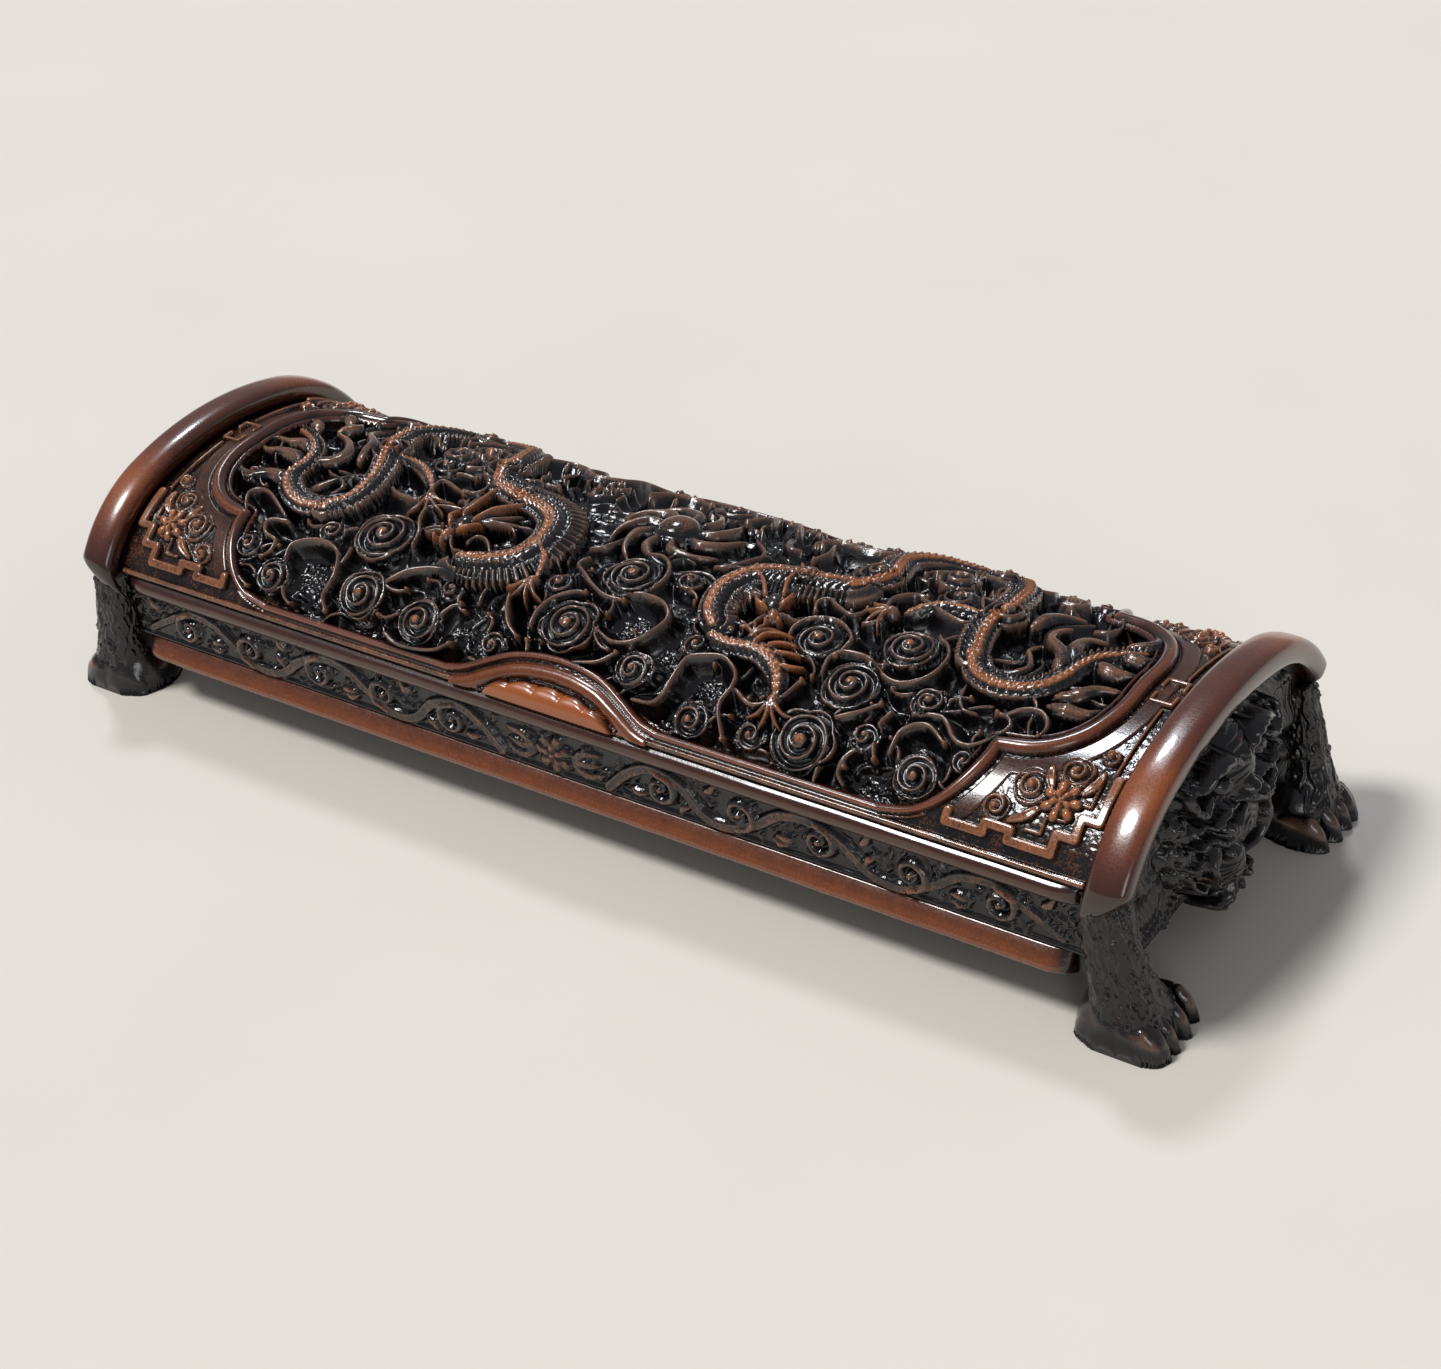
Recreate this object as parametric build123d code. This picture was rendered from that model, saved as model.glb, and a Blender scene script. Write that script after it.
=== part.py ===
from build123d import *
import os
from math import acos, atan2, cos, degrees, hypot, pi, radians, sin, sqrt

# The box lies along X, stands on Z = 0 and is centred on the origin. Its front faces -Y.

# Lid: a low arch of two radii that lies between the end rims
lid_length = 245.0
crown_radius = 80.0
crown_angle = 16.0  # from the middle of the crown to where the shoulder starts, degrees
shoulder_radius = 31.0
shoulder_angle = 59.5  # slope of the lid at its long edges, degrees
lid_thickness = 6.0
field_depth = 3.5  # how deep the carved field lies below the lid's border
edge_floor = 1.2  # what is left under the field where it comes down to the lid's long edge
lip_thickness = 1.8
lip_depth = 4.0
lip_setback = 10.0  # from each end of the lid to the end of its lip

# Clearances between the lid and the box
end_gap = 0.5
seat_gap = 0.3
lip_gap = 0.3

# Box: floor, walls, end panels and the mouldings on them
foot_clearance = 10.5
moulding_height = 5.0
frieze_height = 11.5
rail_height = 4.0
wall_setback = 2.0  # from the lid's long edge back to the face of the wall
wall_thickness = 3.0
floor_thickness = 3.0
panel_thickness = 4.0
frieze_thickness = 1.0
relief_height = 0.9
rail_projection = 3.4
rail_root = 1.8
moulding_projection = 4.0
moulding_root = 3.2
moulding_waist = 2.6
moulding_top = 1.8

# End rims
rim_width = 8.6
rim_rise = 5.2
rim_root = 0.7  # how far the rim reaches below the line of the lid
rim_bevel = 2.6  # of the crest, across the rim
tail_drop = 11.0  # how far the rim's tapered tail runs down over the leg
tail_width = 3.5
tail_depth = 3.5
tail_corner = 1.0

# Legs and paws: a width runs along X and a depth along Y
leg_setback = 7.0  # from the outside of the end panel back to the inner side of the leg
leg_lean = 2.6  # how far the leg's inner side moves outward on its way down
leg_width = 11.0
leg_depth = 9.4
leg_corner = 3.0
leg_shy = 0.6  # from the rim's shoulder in to the side of the leg
knee_height = 20.5
knee_width = 12.8
knee_depth = 9.8
ankle_height = 11.5
ankle_width = 14.8
ankle_depth = 12.0
instep_height = 6.3
paw_width = 18.5
paw_shy = 0.9  # from the side of the outer toes in to the paw's body
paw_reach = 9.3  # how far the toes stand out past the rim
paw_splay = 1.1  # how far the outer toe stands out past the rim's shoulder
toe_count = 4
toe_length = 9.6
toe_height = 6.2
toe_taper = 0.45  # of its height, that a toe loses at its tip
toe_bevel = 0.28  # of a toe's width, cut off along its edges
toe_curl = 0.8  # how far each toe stands back from the one nearer the middle
toe_show = 3.6  # how far the toes stand out past the paw's body

# Carved border of the field
border_width = 9.5  # from the lid's end to the middle of the bead
edge_border = 4.2  # from the lid's long edge to the middle of the bead, along the slope
bead_width = 2.4
bead_height = 1.8
corner_radius = 13.5
ear_radius = 16.0
corner_step = 15.0  # along X, from the middle of the ear's arc back to the middle of the corner's
ear_drop = 8.0  # from the lid's centre line out to the middle of the ear's arc
ogee_span = 52.0
ogee_rise = 7.6  # along the slope
ogee_share = 0.35  # of the ogee that is the hollow curve

# Ornament heights above the lid's border, and widths
trim_height = 1.0
panel_height = 1.6
dragon_height = 3.2
cloud_height = 1.8
pearl_height = 3.0
cloud_line = 2.1
unseen_scroll = 5.0  # smaller ones are left off the slope that the photograph doesn't show
tongue_rows = 6
tongue_columns = 9
tongue_rise = 12.0  # from row to row, along the slope
tongue_pitch = 22.0
tongue_width = 2.8
tongue_reach = 5.2
cloud_share = 0.7  # of its pitch, that a scroll's band fills
scroll_sides = 6  # straight runs in one turn of a scroll
crown_facets = 3  # flats that the carving has over the crown
shoulder_facets = 3
fret_line = 1.2
edge_line = 0.8
edge_land = 0.3  # plain strip at the lid's long edge
end_line = 3.0  # from the lid's end to its fine bead
panel_gap = 1.6  # from the bead to the lobed panel
lobe_count = 5
lobe_rise = 0.9
end_fret_gap = 10.0
flower_place = (16.0, 14.4)  # in from the lid's end, and up from its long edge
flower_radius = 2.0
petal_reach = 1.8  # as a share of the radius between petals
volute_radius = 2.3
volute_line = 1.1
petal_count = 5
pearl_radius = 6.0
pearl_sides = 12
pearl_tongues = 6
pearl_y = 9.0
field_gap = 0.2

# Beast masks: heights are above the floor, reaches run out from the end panel
face_sides = 10
bump_sides = 6
dome_shares = (0, 0.68, 0.94)  # of its reach, where a swelling's flats meet
face_height = 27.5
face_radius = 17.5
face_reach = 6.8
muzzle_height = 27.0
muzzle_radius = 10.5
muzzle_reach = 8.6
nose_height = 35.0
nose_radius = 5.4
nose_reach = 9.5
jaw_height = 12.7
jaw_radius = 7.2
jaw_reach = 7.6
eye_height = 37.7
eye_radius = 3.4
eye_reach = 5.9
eye_spread = 8.6
cheek_height = 23.0
cheek_radius = 5.0
cheek_reach = 5.7
cheek_spread = 14.5
curl_count = 7
curl_radius = 3.6
curl_reach = 4.0
mane_height = 30.5
mane_rise = 12.6
mane_spread = 20.5

# Running scroll on the friezes
frieze_flower = 2.6
frieze_waves = 3
frieze_margin = 2.2  # from the edge of the frieze to the crest of its stem
frieze_stem = 1.6
frieze_start = 8.0  # from the middle of the side to where the stem starts
frieze_scroll = 3.2
frieze_line = 1.5

# Places worked out from the values above
seat_height = foot_clearance + moulding_height + frieze_height + rail_height
lid_edge = seat_height + seat_gap
shoulder_y = (crown_radius - shoulder_radius) * sin(radians(crown_angle))
shoulder_z = lid_edge - shoulder_radius * cos(radians(shoulder_angle))
crown_z = shoulder_z - (crown_radius - shoulder_radius) * cos(radians(crown_angle))
half_width = shoulder_y + shoulder_radius * sin(radians(shoulder_angle))
crown_run = crown_radius * radians(crown_angle)
half_run = crown_run + shoulder_radius * radians(shoulder_angle - crown_angle)
lid_half = lid_length / 2
panel_inner = lid_half + end_gap
panel_outer = panel_inner + panel_thickness
rim_outer = panel_inner + rim_width
wall_outer = half_width - wall_setback
wall_inner = wall_outer - wall_thickness
rim_shoulder = half_width + rim_rise * sin(radians(shoulder_angle))
floor_top = foot_clearance + floor_thickness
tail_top = shoulder_z + (shoulder_radius + rim_rise) * cos(radians(shoulder_angle))
toe_tip = rim_outer + paw_reach
toe_side = rim_shoulder + paw_splay
below = -crown_radius  # a level under everything, where cutting shapes start


def arch_face(offset, bottom):
    """End view of everything under the lid's outline, grown by offset, down to bottom."""
    turn = shoulder_angle - crown_angle
    front = CenterArc((shoulder_y, shoulder_z), shoulder_radius + offset, 90 - shoulder_angle, turn)
    crown = CenterArc((0, crown_z), crown_radius + offset, 90 - crown_angle, 2 * crown_angle)
    back = CenterArc((-shoulder_y, shoulder_z), shoulder_radius + offset, 90 + crown_angle, turn)
    right, left = front @ 0, back @ 1
    sides = Polyline(left, (left.X, bottom), (right.X, bottom), right)
    return Plane.YZ * make_face([front, crown, back, sides])


def facet_face(offset, bottom):
    """The same end view with its arch in flats, for the carving."""
    step = (shoulder_angle - crown_angle) / shoulder_facets
    right = [crown_angle + step * i for i in range(shoulder_facets + 1)]
    middle = [crown_angle * (2 * i / crown_facets - 1) for i in range(1, crown_facets)]
    points = []
    for angle in [-turn for turn in reversed(right)] + middle + right:
        turn = radians(angle)
        if abs(angle) < crown_angle:
            y, z = (crown_radius + offset) * sin(turn), crown_z + (crown_radius + offset) * cos(turn)
        else:
            y = (1 if angle > 0 else -1) * shoulder_y + (shoulder_radius + offset) * sin(turn)
            z = shoulder_z + (shoulder_radius + offset) * cos(turn)
        points.append((y, z))
    feet = [(points[-1][0], bottom), (points[0][0], bottom)]
    return Plane.YZ * make_face(Polyline(*points, *feet, close=True))


def along_x(face, start, end):
    """Solid of an end-view face between two places on X."""
    return Pos(start, 0, 0) * extrude(face, end - start, dir=(1, 0, 0))


def block(x0, x1, y0, y1, z0, z1):
    """Rectangular solid between two corners."""
    return Pos((x0 + x1) / 2, (y0 + y1) / 2, (z0 + z1) / 2) * Box(x1 - x0, y1 - y0, z1 - z0)


def lid_layer(under, over, foot):
    """The arched layer between two end views of the lid, stopped at the level foot."""
    layer = along_x(over - under, -lid_half, lid_half)
    return layer - block(-lid_half, lid_half, -rim_shoulder, rim_shoulder, below, foot)


def slope_y(run):
    """Y in plan of a point that lies a run along the arch from the crown, back positive."""
    way = 1 if run >= 0 else -1
    if abs(run) <= crown_run:
        return crown_radius * sin(run / crown_radius)
    angle = radians(crown_angle) + (abs(run) - crown_run) / shoulder_radius
    return way * (shoulder_y + shoulder_radius * sin(angle))


def on_lid(points):
    """Plan points from places given as x and the run along the arch."""
    return [(x, slope_y(run)) for x, run in points]


def from_corner(points):
    """Plan points from distances in from the lid's right end and up from its front edge."""
    return on_lid([(lid_half - back, up - half_run) for back, up in points])


def raised(faces, high, end_view=arch_face):
    """Plan faces stood up on the lid's border, to a height over it."""
    layer = lid_layer(arch_face(0, below), end_view(high, below), lid_edge)
    return extrude(Sketch() + faces, lid_edge + crown_radius) & layer


def in_field(faces, high):
    """Plan faces stood up on the floor of the carved field, to a height over the lid's border."""
    floor, top = facet_face(-field_depth, below), facet_face(high, below)
    layer = lid_layer(floor, top, lid_edge + edge_floor)
    return extrude(Sketch() + faces, lid_edge + crown_radius) & layer


def stacked(loops):
    """Solid with flat sides through outlines that have the same run of parallel sides."""
    sides = [Polyline(*loop, close=True) for loop in (loops[0], loops[-1])]
    for low, high in zip(loops, loops[1:]):
        for i in range(len(low)):
            sides.append(Polyline(low[i - 1], low[i], high[i], high[i - 1], close=True))
    return Part() + Solid(Shell([make_face(side).face() for side in sides]))


def ribbon(points, width, tip=0.15):
    """Plan face of a tapering band along a smooth line: widest at a third, fine at its end."""
    line = Spline(*points)
    steps = len(points)
    left, right = [], []
    for step in range(steps + 1):
        share = step / steps
        swell = width / 2 * (tip + (1 - tip) * sin(pi * min(1, 0.3 + 0.7 * share)))
        side = (line % share).rotate(Axis.Z, 90) * swell
        left.append(line @ share + side)
        right.append(line @ share - side)
    return make_face(Polyline(*left, *reversed(right), close=True))


def scroll(x, y, radius, hand, line=cloud_line, start=0.0):
    """Plan face of a cloud scroll: a band in straight runs that winds inwards to its eye."""
    outer, inner, size, turn = [], [], radius, radians(start)
    while size > line:
        outer.append((x + size * cos(turn), y + size * sin(turn)))
        inner.append((x + (size - line) * cos(turn), y + (size - line) * sin(turn)))
        size -= line / cloud_share / scroll_sides
        turn += hand * 2 * pi / scroll_sides
    return make_face(Polyline(*outer, *reversed(inner), close=True))


def all_corners(name, make):
    """The piece that make gives for the front right corner, set at all four corners."""
    piece = make()
    back = mirror(piece, Plane.XZ)
    return {
        f"{name}_front_right": piece,
        f"{name}_front_left": mirror(piece, Plane.YZ),
        f"{name}_back_right": back,
        f"{name}_back_left": mirror(back, Plane.YZ),
    }


def front_and_back(name, piece):
    """A piece made for the back, and its mirror image for the front."""
    return {f"back_{name}": piece, f"front_{name}": mirror(piece, Plane.XZ)}


def left_and_right(name, piece):
    """A piece made for the right end, and its mirror image for the left."""
    return {f"right_{name}": piece, f"left_{name}": mirror(piece, Plane.YZ)}


# Lid shell and its lips


def circles_meet(a, radius_a, b, radius_b):
    """Angles, seen from each centre, of the outer point where two circles meet."""
    dx, dy = b[0] - a[0], b[1] - a[1]
    gap = hypot(dx, dy)
    along = (radius_a**2 - radius_b**2 + gap**2) / (2 * gap)
    across = sqrt(radius_a**2 - along**2)
    x = a[0] + (along * dx - across * dy) / gap
    y = a[1] + (along * dy + across * dx) / gap
    if x < a[0]:
        x = a[0] + (along * dx + across * dy) / gap
        y = a[1] + (along * dy - across * dx) / gap
    return degrees(atan2(y - a[1], x - a[0])), degrees(atan2(y - b[1], x - b[0]))


def ogee_circles():
    """Centres and radii of the hollow and the arch of the ogee, in the back right quarter."""
    low = slope_y(half_run - edge_border)
    rise = low - slope_y(half_run - edge_border - ogee_rise)
    both = ((ogee_span / 2) ** 2 + rise**2) / (2 * rise)
    hollow, arch = both * ogee_share, both * (1 - ogee_share)
    return (ogee_span / 2, low - hollow), hollow, (0, low - rise + arch), arch


def cartouche(inset):
    """Plan face of the carved field: cusped corners, and an ogee in each long side."""
    low = slope_y(half_run - edge_border)
    end = lid_half - border_width
    ear = (end - ear_radius, ear_drop)
    corner = (ear[0] - corner_step, low - corner_radius)
    corner_turn, ear_turn = circles_meet(corner, corner_radius - inset, ear, ear_radius - inset)
    foot, hollow, peak, arch = ogee_circles()
    lean = degrees(atan2(foot[1] - peak[1], foot[0] - peak[0]))
    quarter = [
        CenterArc(peak, arch + inset, -90, lean + 90),
        CenterArc(foot, hollow - inset, lean + 180, -lean - 90),
        Line((foot[0], low - inset), (corner[0], low - inset)),
        CenterArc(corner, corner_radius - inset, 90, corner_turn - 90),
        CenterArc(ear, ear_radius - inset, ear_turn, -ear_turn),
        Line((end - inset, ear_drop), (end - inset, 0)),
    ]
    half = quarter + [mirror(edge, Plane.XZ) for edge in quarter]
    return make_face(half + [mirror(edge, Plane.YZ) for edge in half])


def lid_shell():
    """The arched plate: its underside is hollow, and the carved field is sunk into its top."""
    end_view = arch_face(0, below) - arch_face(-lid_thickness, below)
    plate = along_x(end_view, -lid_half, lid_half)
    plate -= block(-lid_half, lid_half, -half_width, half_width, below, lid_edge)
    return plate - in_field(cartouche(bead_width / 2), trim_height)


def lid_lip():
    """The strip under the lid's back edge that drops inside the wall and keeps the lid square."""
    end = lid_half - lip_setback
    outer = wall_inner - lip_gap
    return block(-end, end, outer - lip_thickness, outer, lid_edge - lip_depth, lid_edge)


# Mouldings and small ornament on the lid's border


def cartouche_bead():
    """The rounded bead that frames the carved field."""
    ring = cartouche(-bead_width / 2) - cartouche(bead_width / 2)
    return raised(ring, bead_height)


def ogee_panel():
    """The smooth lobed panel under the back ogee, between its bead and the lid's edge."""
    _, _, centre, arch = ogee_circles()
    radius = arch - bead_width / 2 - panel_gap
    base = half_width - edge_land
    reach = acos((centre[1] - base) / radius)
    lobes = []
    for lobe in range(lobe_count):
        turns = [reach * (2 * (lobe + part) / lobe_count - 1) for part in (0, 0.5, 1)]
        sizes = (radius, radius + lobe_rise, radius)
        points = [(r * sin(t), centre[1] - r * cos(t)) for r, t in zip(sizes, turns)]
        lobes.append(ThreePointArc(*points))
    return raised(make_face(lobes + [Line(lobes[-1] @ 1, lobes[0] @ 0)]), panel_height)


def edge_moulding():
    """The thin moulding along the lid's back edge, outside the bead, stopped by the panel."""
    _, _, centre, arch = ogee_circles()
    base = half_width - edge_land
    strip = Pos(0, base - edge_line / 2) * Rectangle(lid_length - 2 * edge_line, edge_line)
    reach = sqrt((arch - bead_width / 2) ** 2 - (centre[1] - base) ** 2)
    strip -= Pos(0, base) * Rectangle(2 * reach + 2 * panel_gap, 3 * edge_line)
    return raised(strip, trim_height)


def end_bead():
    """The fine bead along the lid's right end, beside the rim."""
    x = lid_half - end_line
    bar = Pos(x, 0) * Rectangle(edge_line, 2 * slope_y(crown_run + edge_border))
    return raised(bar - Pos(x, 0) * Rectangle(3 * edge_line, end_fret_gap), trim_height)


def end_fret():
    """The small key bracket in the middle of the lid's right end."""
    inner = lid_half - border_width + bead_width / 2 + fret_line
    outer = lid_half - fret_line
    high = end_fret_gap / 2 - fret_line
    turns = [(outer, high / 3), (outer, high), (inner, high), (inner, high / 3)]
    hook = trace(Polyline(*turns), fret_line)
    return raised(hook + mirror(hook, Plane.XZ), trim_height)


def corner_fret():
    """The stepped key pattern that turns the front right corner of the lid."""
    steps = [(30, 6), (30, 4.4), (22.7, 4.4), (22.7, 6.3), (17.3, 6.3), (17.3, 4.4), (8.7, 4.4)]
    steps += [(8.7, 8.1), (5.1, 8.1), (5.1, 12.1), (1.6, 12.1), (1.6, 19.9)]
    return raised(trace(Polyline(*from_corner(steps)), fret_line), trim_height, facet_face)


def corner_flower():
    """The peony between two volutes in the front right corner of the lid."""
    middle, near, far = from_corner([flower_place, (10.9, 19.5), (20.1, 9.7)])
    flower = Pos(*middle) * rosette(flower_radius)
    volutes = scroll(*near, volute_radius, 1, volute_line, 200)
    volutes += scroll(*far, volute_radius, -1, volute_line, 20)
    return raised(flower + (volutes - flower), panel_height, facet_face)


def rosette(radius):
    """Plan face of a flower with pointed petals."""
    points = []
    for i in range(2 * petal_count):
        turn = pi * i / petal_count
        reach = radius * (petal_reach if i % 2 == 0 else 1)
        points.append((reach * cos(turn), reach * sin(turn)))
    return make_face(Polyline(*points, close=True))


# The carved field: two dragons among cloud scrolls, with a flaming pearl in the middle


def dragon_face(paths, head, heading):
    """Plan face of a dragon: its tapering coils, legs and flames, and its horned head."""
    x, y = on_lid([head])[0]
    coils = [ribbon(on_lid(points), width) for width, points in paths]
    cheek = [(-5.2, 1.6), (-2.6, 3.4), (2, 3.2), (4.6, 2), (8.2, 1.7)]
    skull = make_face(Polyline(*cheek, *[(x, -y) for x, y in reversed(cheek)], close=True))
    horns = [ribbon([(-2, s * 1.5), (-6, s * 3.4), (-10, s * 3.0)], 1.6) for s in (-1, 1)]
    return Sketch() + coils + Pos(x, y) * Rot(0, 0, heading) * (skull + horns)


def left_dragon_face():
    paths = [
        (4.4, [(-108, 14), (-107.5, 8), (-101, 3), (-97, -4), (-93, -11.5), (-86, -16.3), (-79, -15.5)]),
        (4.8, [(-79, -15.5), (-74.8, -10), (-74.5, -3), (-78, 4), (-82, 12), (-83, 22), (-76, 31)]),
        (5.2, [(-76, 31), (-66, 35), (-57, 31), (-52, 22), (-50, 12), (-46, 5)]),
        (5.6, [(-46, 5), (-36, 4), (-28, 1.5), (-23.8, -5), (-24, -12), (-30, -18), (-38, -20)]),
        (2.0, [(-97, -5), (-101, -3), (-105, -2), (-109.5, -2.5)]),
        (2.0, [(-95, -12), (-100, -10.5), (-104, -12), (-108.5, -10.5)]),
        (2.0, [(-88, -6), (-90.5, 3), (-94, 9), (-99, 12), (-100, 16)]),
        (1.8, [(-88, -19), (-93, -17.5), (-98, -17), (-100, -19.5), (-97, -23)]),
    ]
    return dragon_face(paths, (-43, -10), 255)


def right_dragon_face():
    paths = [
        (4.6, [(107, 15), (105.5, 10), (101, 5), (99.5, -1), (97, -8), (91, -11), (84, -9.5), (79.5, -3)]),
        (5.2, [(79.5, -3), (78.5, 5), (77.5, 14), (75, 24), (69, 32), (60, 35), (52, 31)]),
        (5.4, [(52, 31), (48, 22), (50, 12), (46, 5), (38, 4), (31, 2), (25.5, -2), (23.5, -8), (26, -14)]),
        (3.0, [(31, -20.5), (38, -19.5), (43, -21.5), (48, -25), (49.5, -31)]),
        (2.0, [(96, -7), (94, 2), (91, 7), (89, 12), (92, 17)]),
        (1.6, [(90, -9), (90.3, -3), (87, 1), (87.5, 5)]),
        (1.6, [(99, 0), (96, 7), (97, 11.5), (99.5, 13)]),
        (2.4, [(104, 9), (107.2, 14), (104, 18), (99.5, 21)]),
    ]
    return dragon_face(paths, (35, -7), 300)


def pearl_face():
    """Plan face of the flaming pearl's ring of tongues."""
    tongue = ribbon([(pearl_radius - 1, 0), (pearl_radius + 3, 1.2), (pearl_radius + 6, 0)], 2.6)
    around = [Rot(0, 0, 360 * i / pearl_tongues) * tongue for i in range(pearl_tongues)]
    return Pos(0, pearl_y) * (RegularPolygon(pearl_radius, pearl_sides) + around)


def cloud_scrolls():
    """Plan faces of the cloud scrolls. The back is the front turned half round."""
    front = [(-59, -19, 7.4, 1), (-55, -34, 6.0, -1), (-38, -36, 5.4, 1), (-5, -27, 6.8, -1)]
    front += [(1, -9, 7.0, 1), (16, -32, 4.4, -1), (31, -17, 4.2, 1), (49, -12.5, 6.4, 1)]
    front += [(61, -22, 6.2, -1), (67, -8, 5.8, 1), (58, -35.5, 7.0, -1), (33, -38.4, 4.2, 1)]
    front += [(83, -35.5, 4.8, -1), (78, -20, 3.8, 1), (100, -18.5, 3.8, -1), (-88, -30, 4.4, 1)]
    front += [(-80, -36, 4.4, -1), (-72, -24, 3.2, 1), (-62, -3, 5.0, -1), (66, 13, 4.6, -1)]
    far = [place for place in front if place[1] < -15 and place[2] > unseen_scroll]
    back = [(-x, -run, radius, -hand) for x, run, radius, hand in far]
    return [scroll(x, slope_y(run), radius, hand) for x, run, radius, hand in front + back]


def cloud_tongues():
    """Plan faces of the curved tongues of cloud, in offset rows, that fill between the scrolls."""
    tongues = []
    for row in range(tongue_rows):
        run = (row - (tongue_rows - 1) / 2) * tongue_rise
        way = 1 if row % 2 == 0 else -1
        for column in range(tongue_columns):
            x = (column - (tongue_columns - 1) / 2 + way / 4) * tongue_pitch
            bow = run + way * tongue_reach / 2
            curve = [(x - tongue_reach, run), (x, bow), (x + tongue_reach, run)]
            tongues.append(ribbon(on_lid(curve), tongue_width))
    return tongues


def field_pieces():
    """Pieces that stand on the floor of the field, each cut clear of those above it."""
    inside = cartouche(bead_width / 2 + field_gap)
    pearl = pearl_face()
    left = (left_dragon_face() & inside) - pearl
    right = (right_dragon_face() & inside) - pearl - left
    clouds = ((Sketch() + cloud_scrolls() + cloud_tongues()) & inside) - pearl - left - right
    return {
        "flaming_pearl": in_field(pearl, pearl_height),
        "left_dragon": in_field(left, dragon_height),
        "right_dragon": in_field(right, dragon_height),
        "cloud_scrolls": in_field(clouds, cloud_height),
    }


# Box: floor, walls and end panels


def tray_floor():
    return block(-panel_inner, panel_inner, -wall_inner, wall_inner, foot_clearance, floor_top)


def side_wall():
    """The back wall. It carries the frieze and the mouldings, and the lid rests on its top."""
    return block(-panel_inner, panel_inner, wall_inner, wall_outer, foot_clearance, seat_height)


def end_panel():
    """The right end panel: the lid's gable, closed below between the two walls."""
    gable = arch_face(-rim_root, below) - Plane.YZ * Pos(0, below + seat_height) * Rectangle(
        4 * half_width, -2 * below
    )
    foot = Plane.YZ * Pos(0, (foot_clearance + seat_height) / 2) * Rectangle(
        2 * wall_outer, seat_height - foot_clearance
    )
    return along_x(gable + foot, panel_inner, panel_outer)


def core():
    """The space inside the mouldings and legs that the floor, walls and end panels fill."""
    return block(-panel_outer, panel_outer, -wall_outer, wall_outer, foot_clearance, seat_height)


def rim():
    """The bold bead that arches over the right end, with tails that taper down over the legs."""
    ring = arch_face(rim_rise, below) - arch_face(-rim_root, below)
    arch = along_x(ring, panel_inner, rim_outer)
    arch -= block(panel_inner, rim_outer, -rim_shoulder, rim_shoulder, below, tail_top)
    crest_radii = (crown_radius + rim_rise, shoulder_radius + rim_rise)
    arcs = arch.edges().filter_by(GeomType.CIRCLE)
    crest = [arc for arc in arcs if round(arc.radius, 3) in crest_radii]
    arch = chamfer(crest, rim_bevel)
    tail = rim_tail()
    return arch + tail + mirror(tail, Plane.XZ) - end_panel()


def rim_tail():
    """The back tail of the right rim, which narrows both ways as it runs down the leg."""
    levels = []
    for share in (0, 1):
        width = rim_width + (tail_width - rim_width) * share
        depth = rim_shoulder - wall_outer + (tail_depth - rim_shoulder + wall_outer) * share
        outline = cut_corners(width, depth, tail_corner * depth / tail_depth)
        x, y, z = panel_inner + width / 2, wall_outer + depth / 2, tail_top - tail_drop * share
        levels.append([(x + across, y + along, z) for across, along in outline])
    return stacked(levels)


# Legs with lion's paws


def cut_corners(width, depth, corner):
    """Points round a rectangle with its corners cut off."""
    x, y = width / 2, depth / 2
    right = [(x, y - corner), (x - corner, y)]
    upper = right + [(-across, along) for across, along in reversed(right)]
    return upper + [(-across, -along) for across, along in upper]


def leg(blockers):
    """The back right leg, from under the rim down to its paw, cut round the box and the rim."""
    paw_side = toe_side - paw_shy
    paw_depth = paw_width - 2 * paw_shy
    levels = [
        (seat_height, leg_width, rim_shoulder - leg_shy, leg_depth),
        (knee_height, knee_width, rim_shoulder - 2 * leg_shy, knee_depth),
        (ankle_height, ankle_width, rim_shoulder, ankle_depth),
        (instep_height, ankle_width, paw_side, paw_depth),
        (0, toe_tip - toe_show - panel_outer + leg_setback - leg_lean, paw_side, paw_depth),
    ]
    loops = []
    for z, width, side, depth in levels:
        x = panel_outer - leg_setback + leg_lean * (1 - z / seat_height) + width / 2
        outline = cut_corners(width, depth, leg_corner)
        loops.append([(x + across, side - depth / 2 + along, z) for across, along in outline])
    solid = stacked(loops) + toes()
    for piece in blockers:
        solid -= piece
    return solid


def toes():
    """Toes side by side, the middle ones longest, each a knuckle with a flat sole."""
    pitch = paw_width / toe_count
    row = []
    for i in range(toe_count):
        tip = toe_tip - toe_curl * abs(i - (toe_count - 1) / 2)
        y = toe_side - pitch * (i + 0.5)
        loops = []
        for share in (0, 0.5, 1):
            height = toe_height * (1 - toe_taper * share**2)
            outline = cut_corners(pitch, height, pitch * toe_bevel)
            x = tip - toe_length * (1 - share)
            loops.append([(x, y + across, height / 2 + up) for across, up in outline])
        row.append(stacked(loops))
    return row


# Beast mask on each end panel


def mask():
    """The beast's head on the right end: a domed face with snout, jaw, eyes and a mane of curls."""
    bumps = [
        (0, face_height, face_reach, face_radius),
        (0, nose_height, nose_reach, nose_radius),
        (0, muzzle_height, muzzle_reach, muzzle_radius),
        (0, jaw_height, jaw_reach, jaw_radius),
    ]
    for side in (-1, 1):
        bumps.append((side * eye_spread, eye_height, eye_reach, eye_radius))
        bumps.append((side * cheek_spread, cheek_height, cheek_reach, cheek_radius))
    for i in range(curl_count):
        turn = radians(180 * (i + 0.5) / curl_count)
        y, z = mane_spread * cos(turn), mane_height + mane_rise * sin(turn)
        bumps.append((y, z, curl_reach, curl_radius))
    return Part() + [dome(*bump) for bump in bumps]


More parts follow.
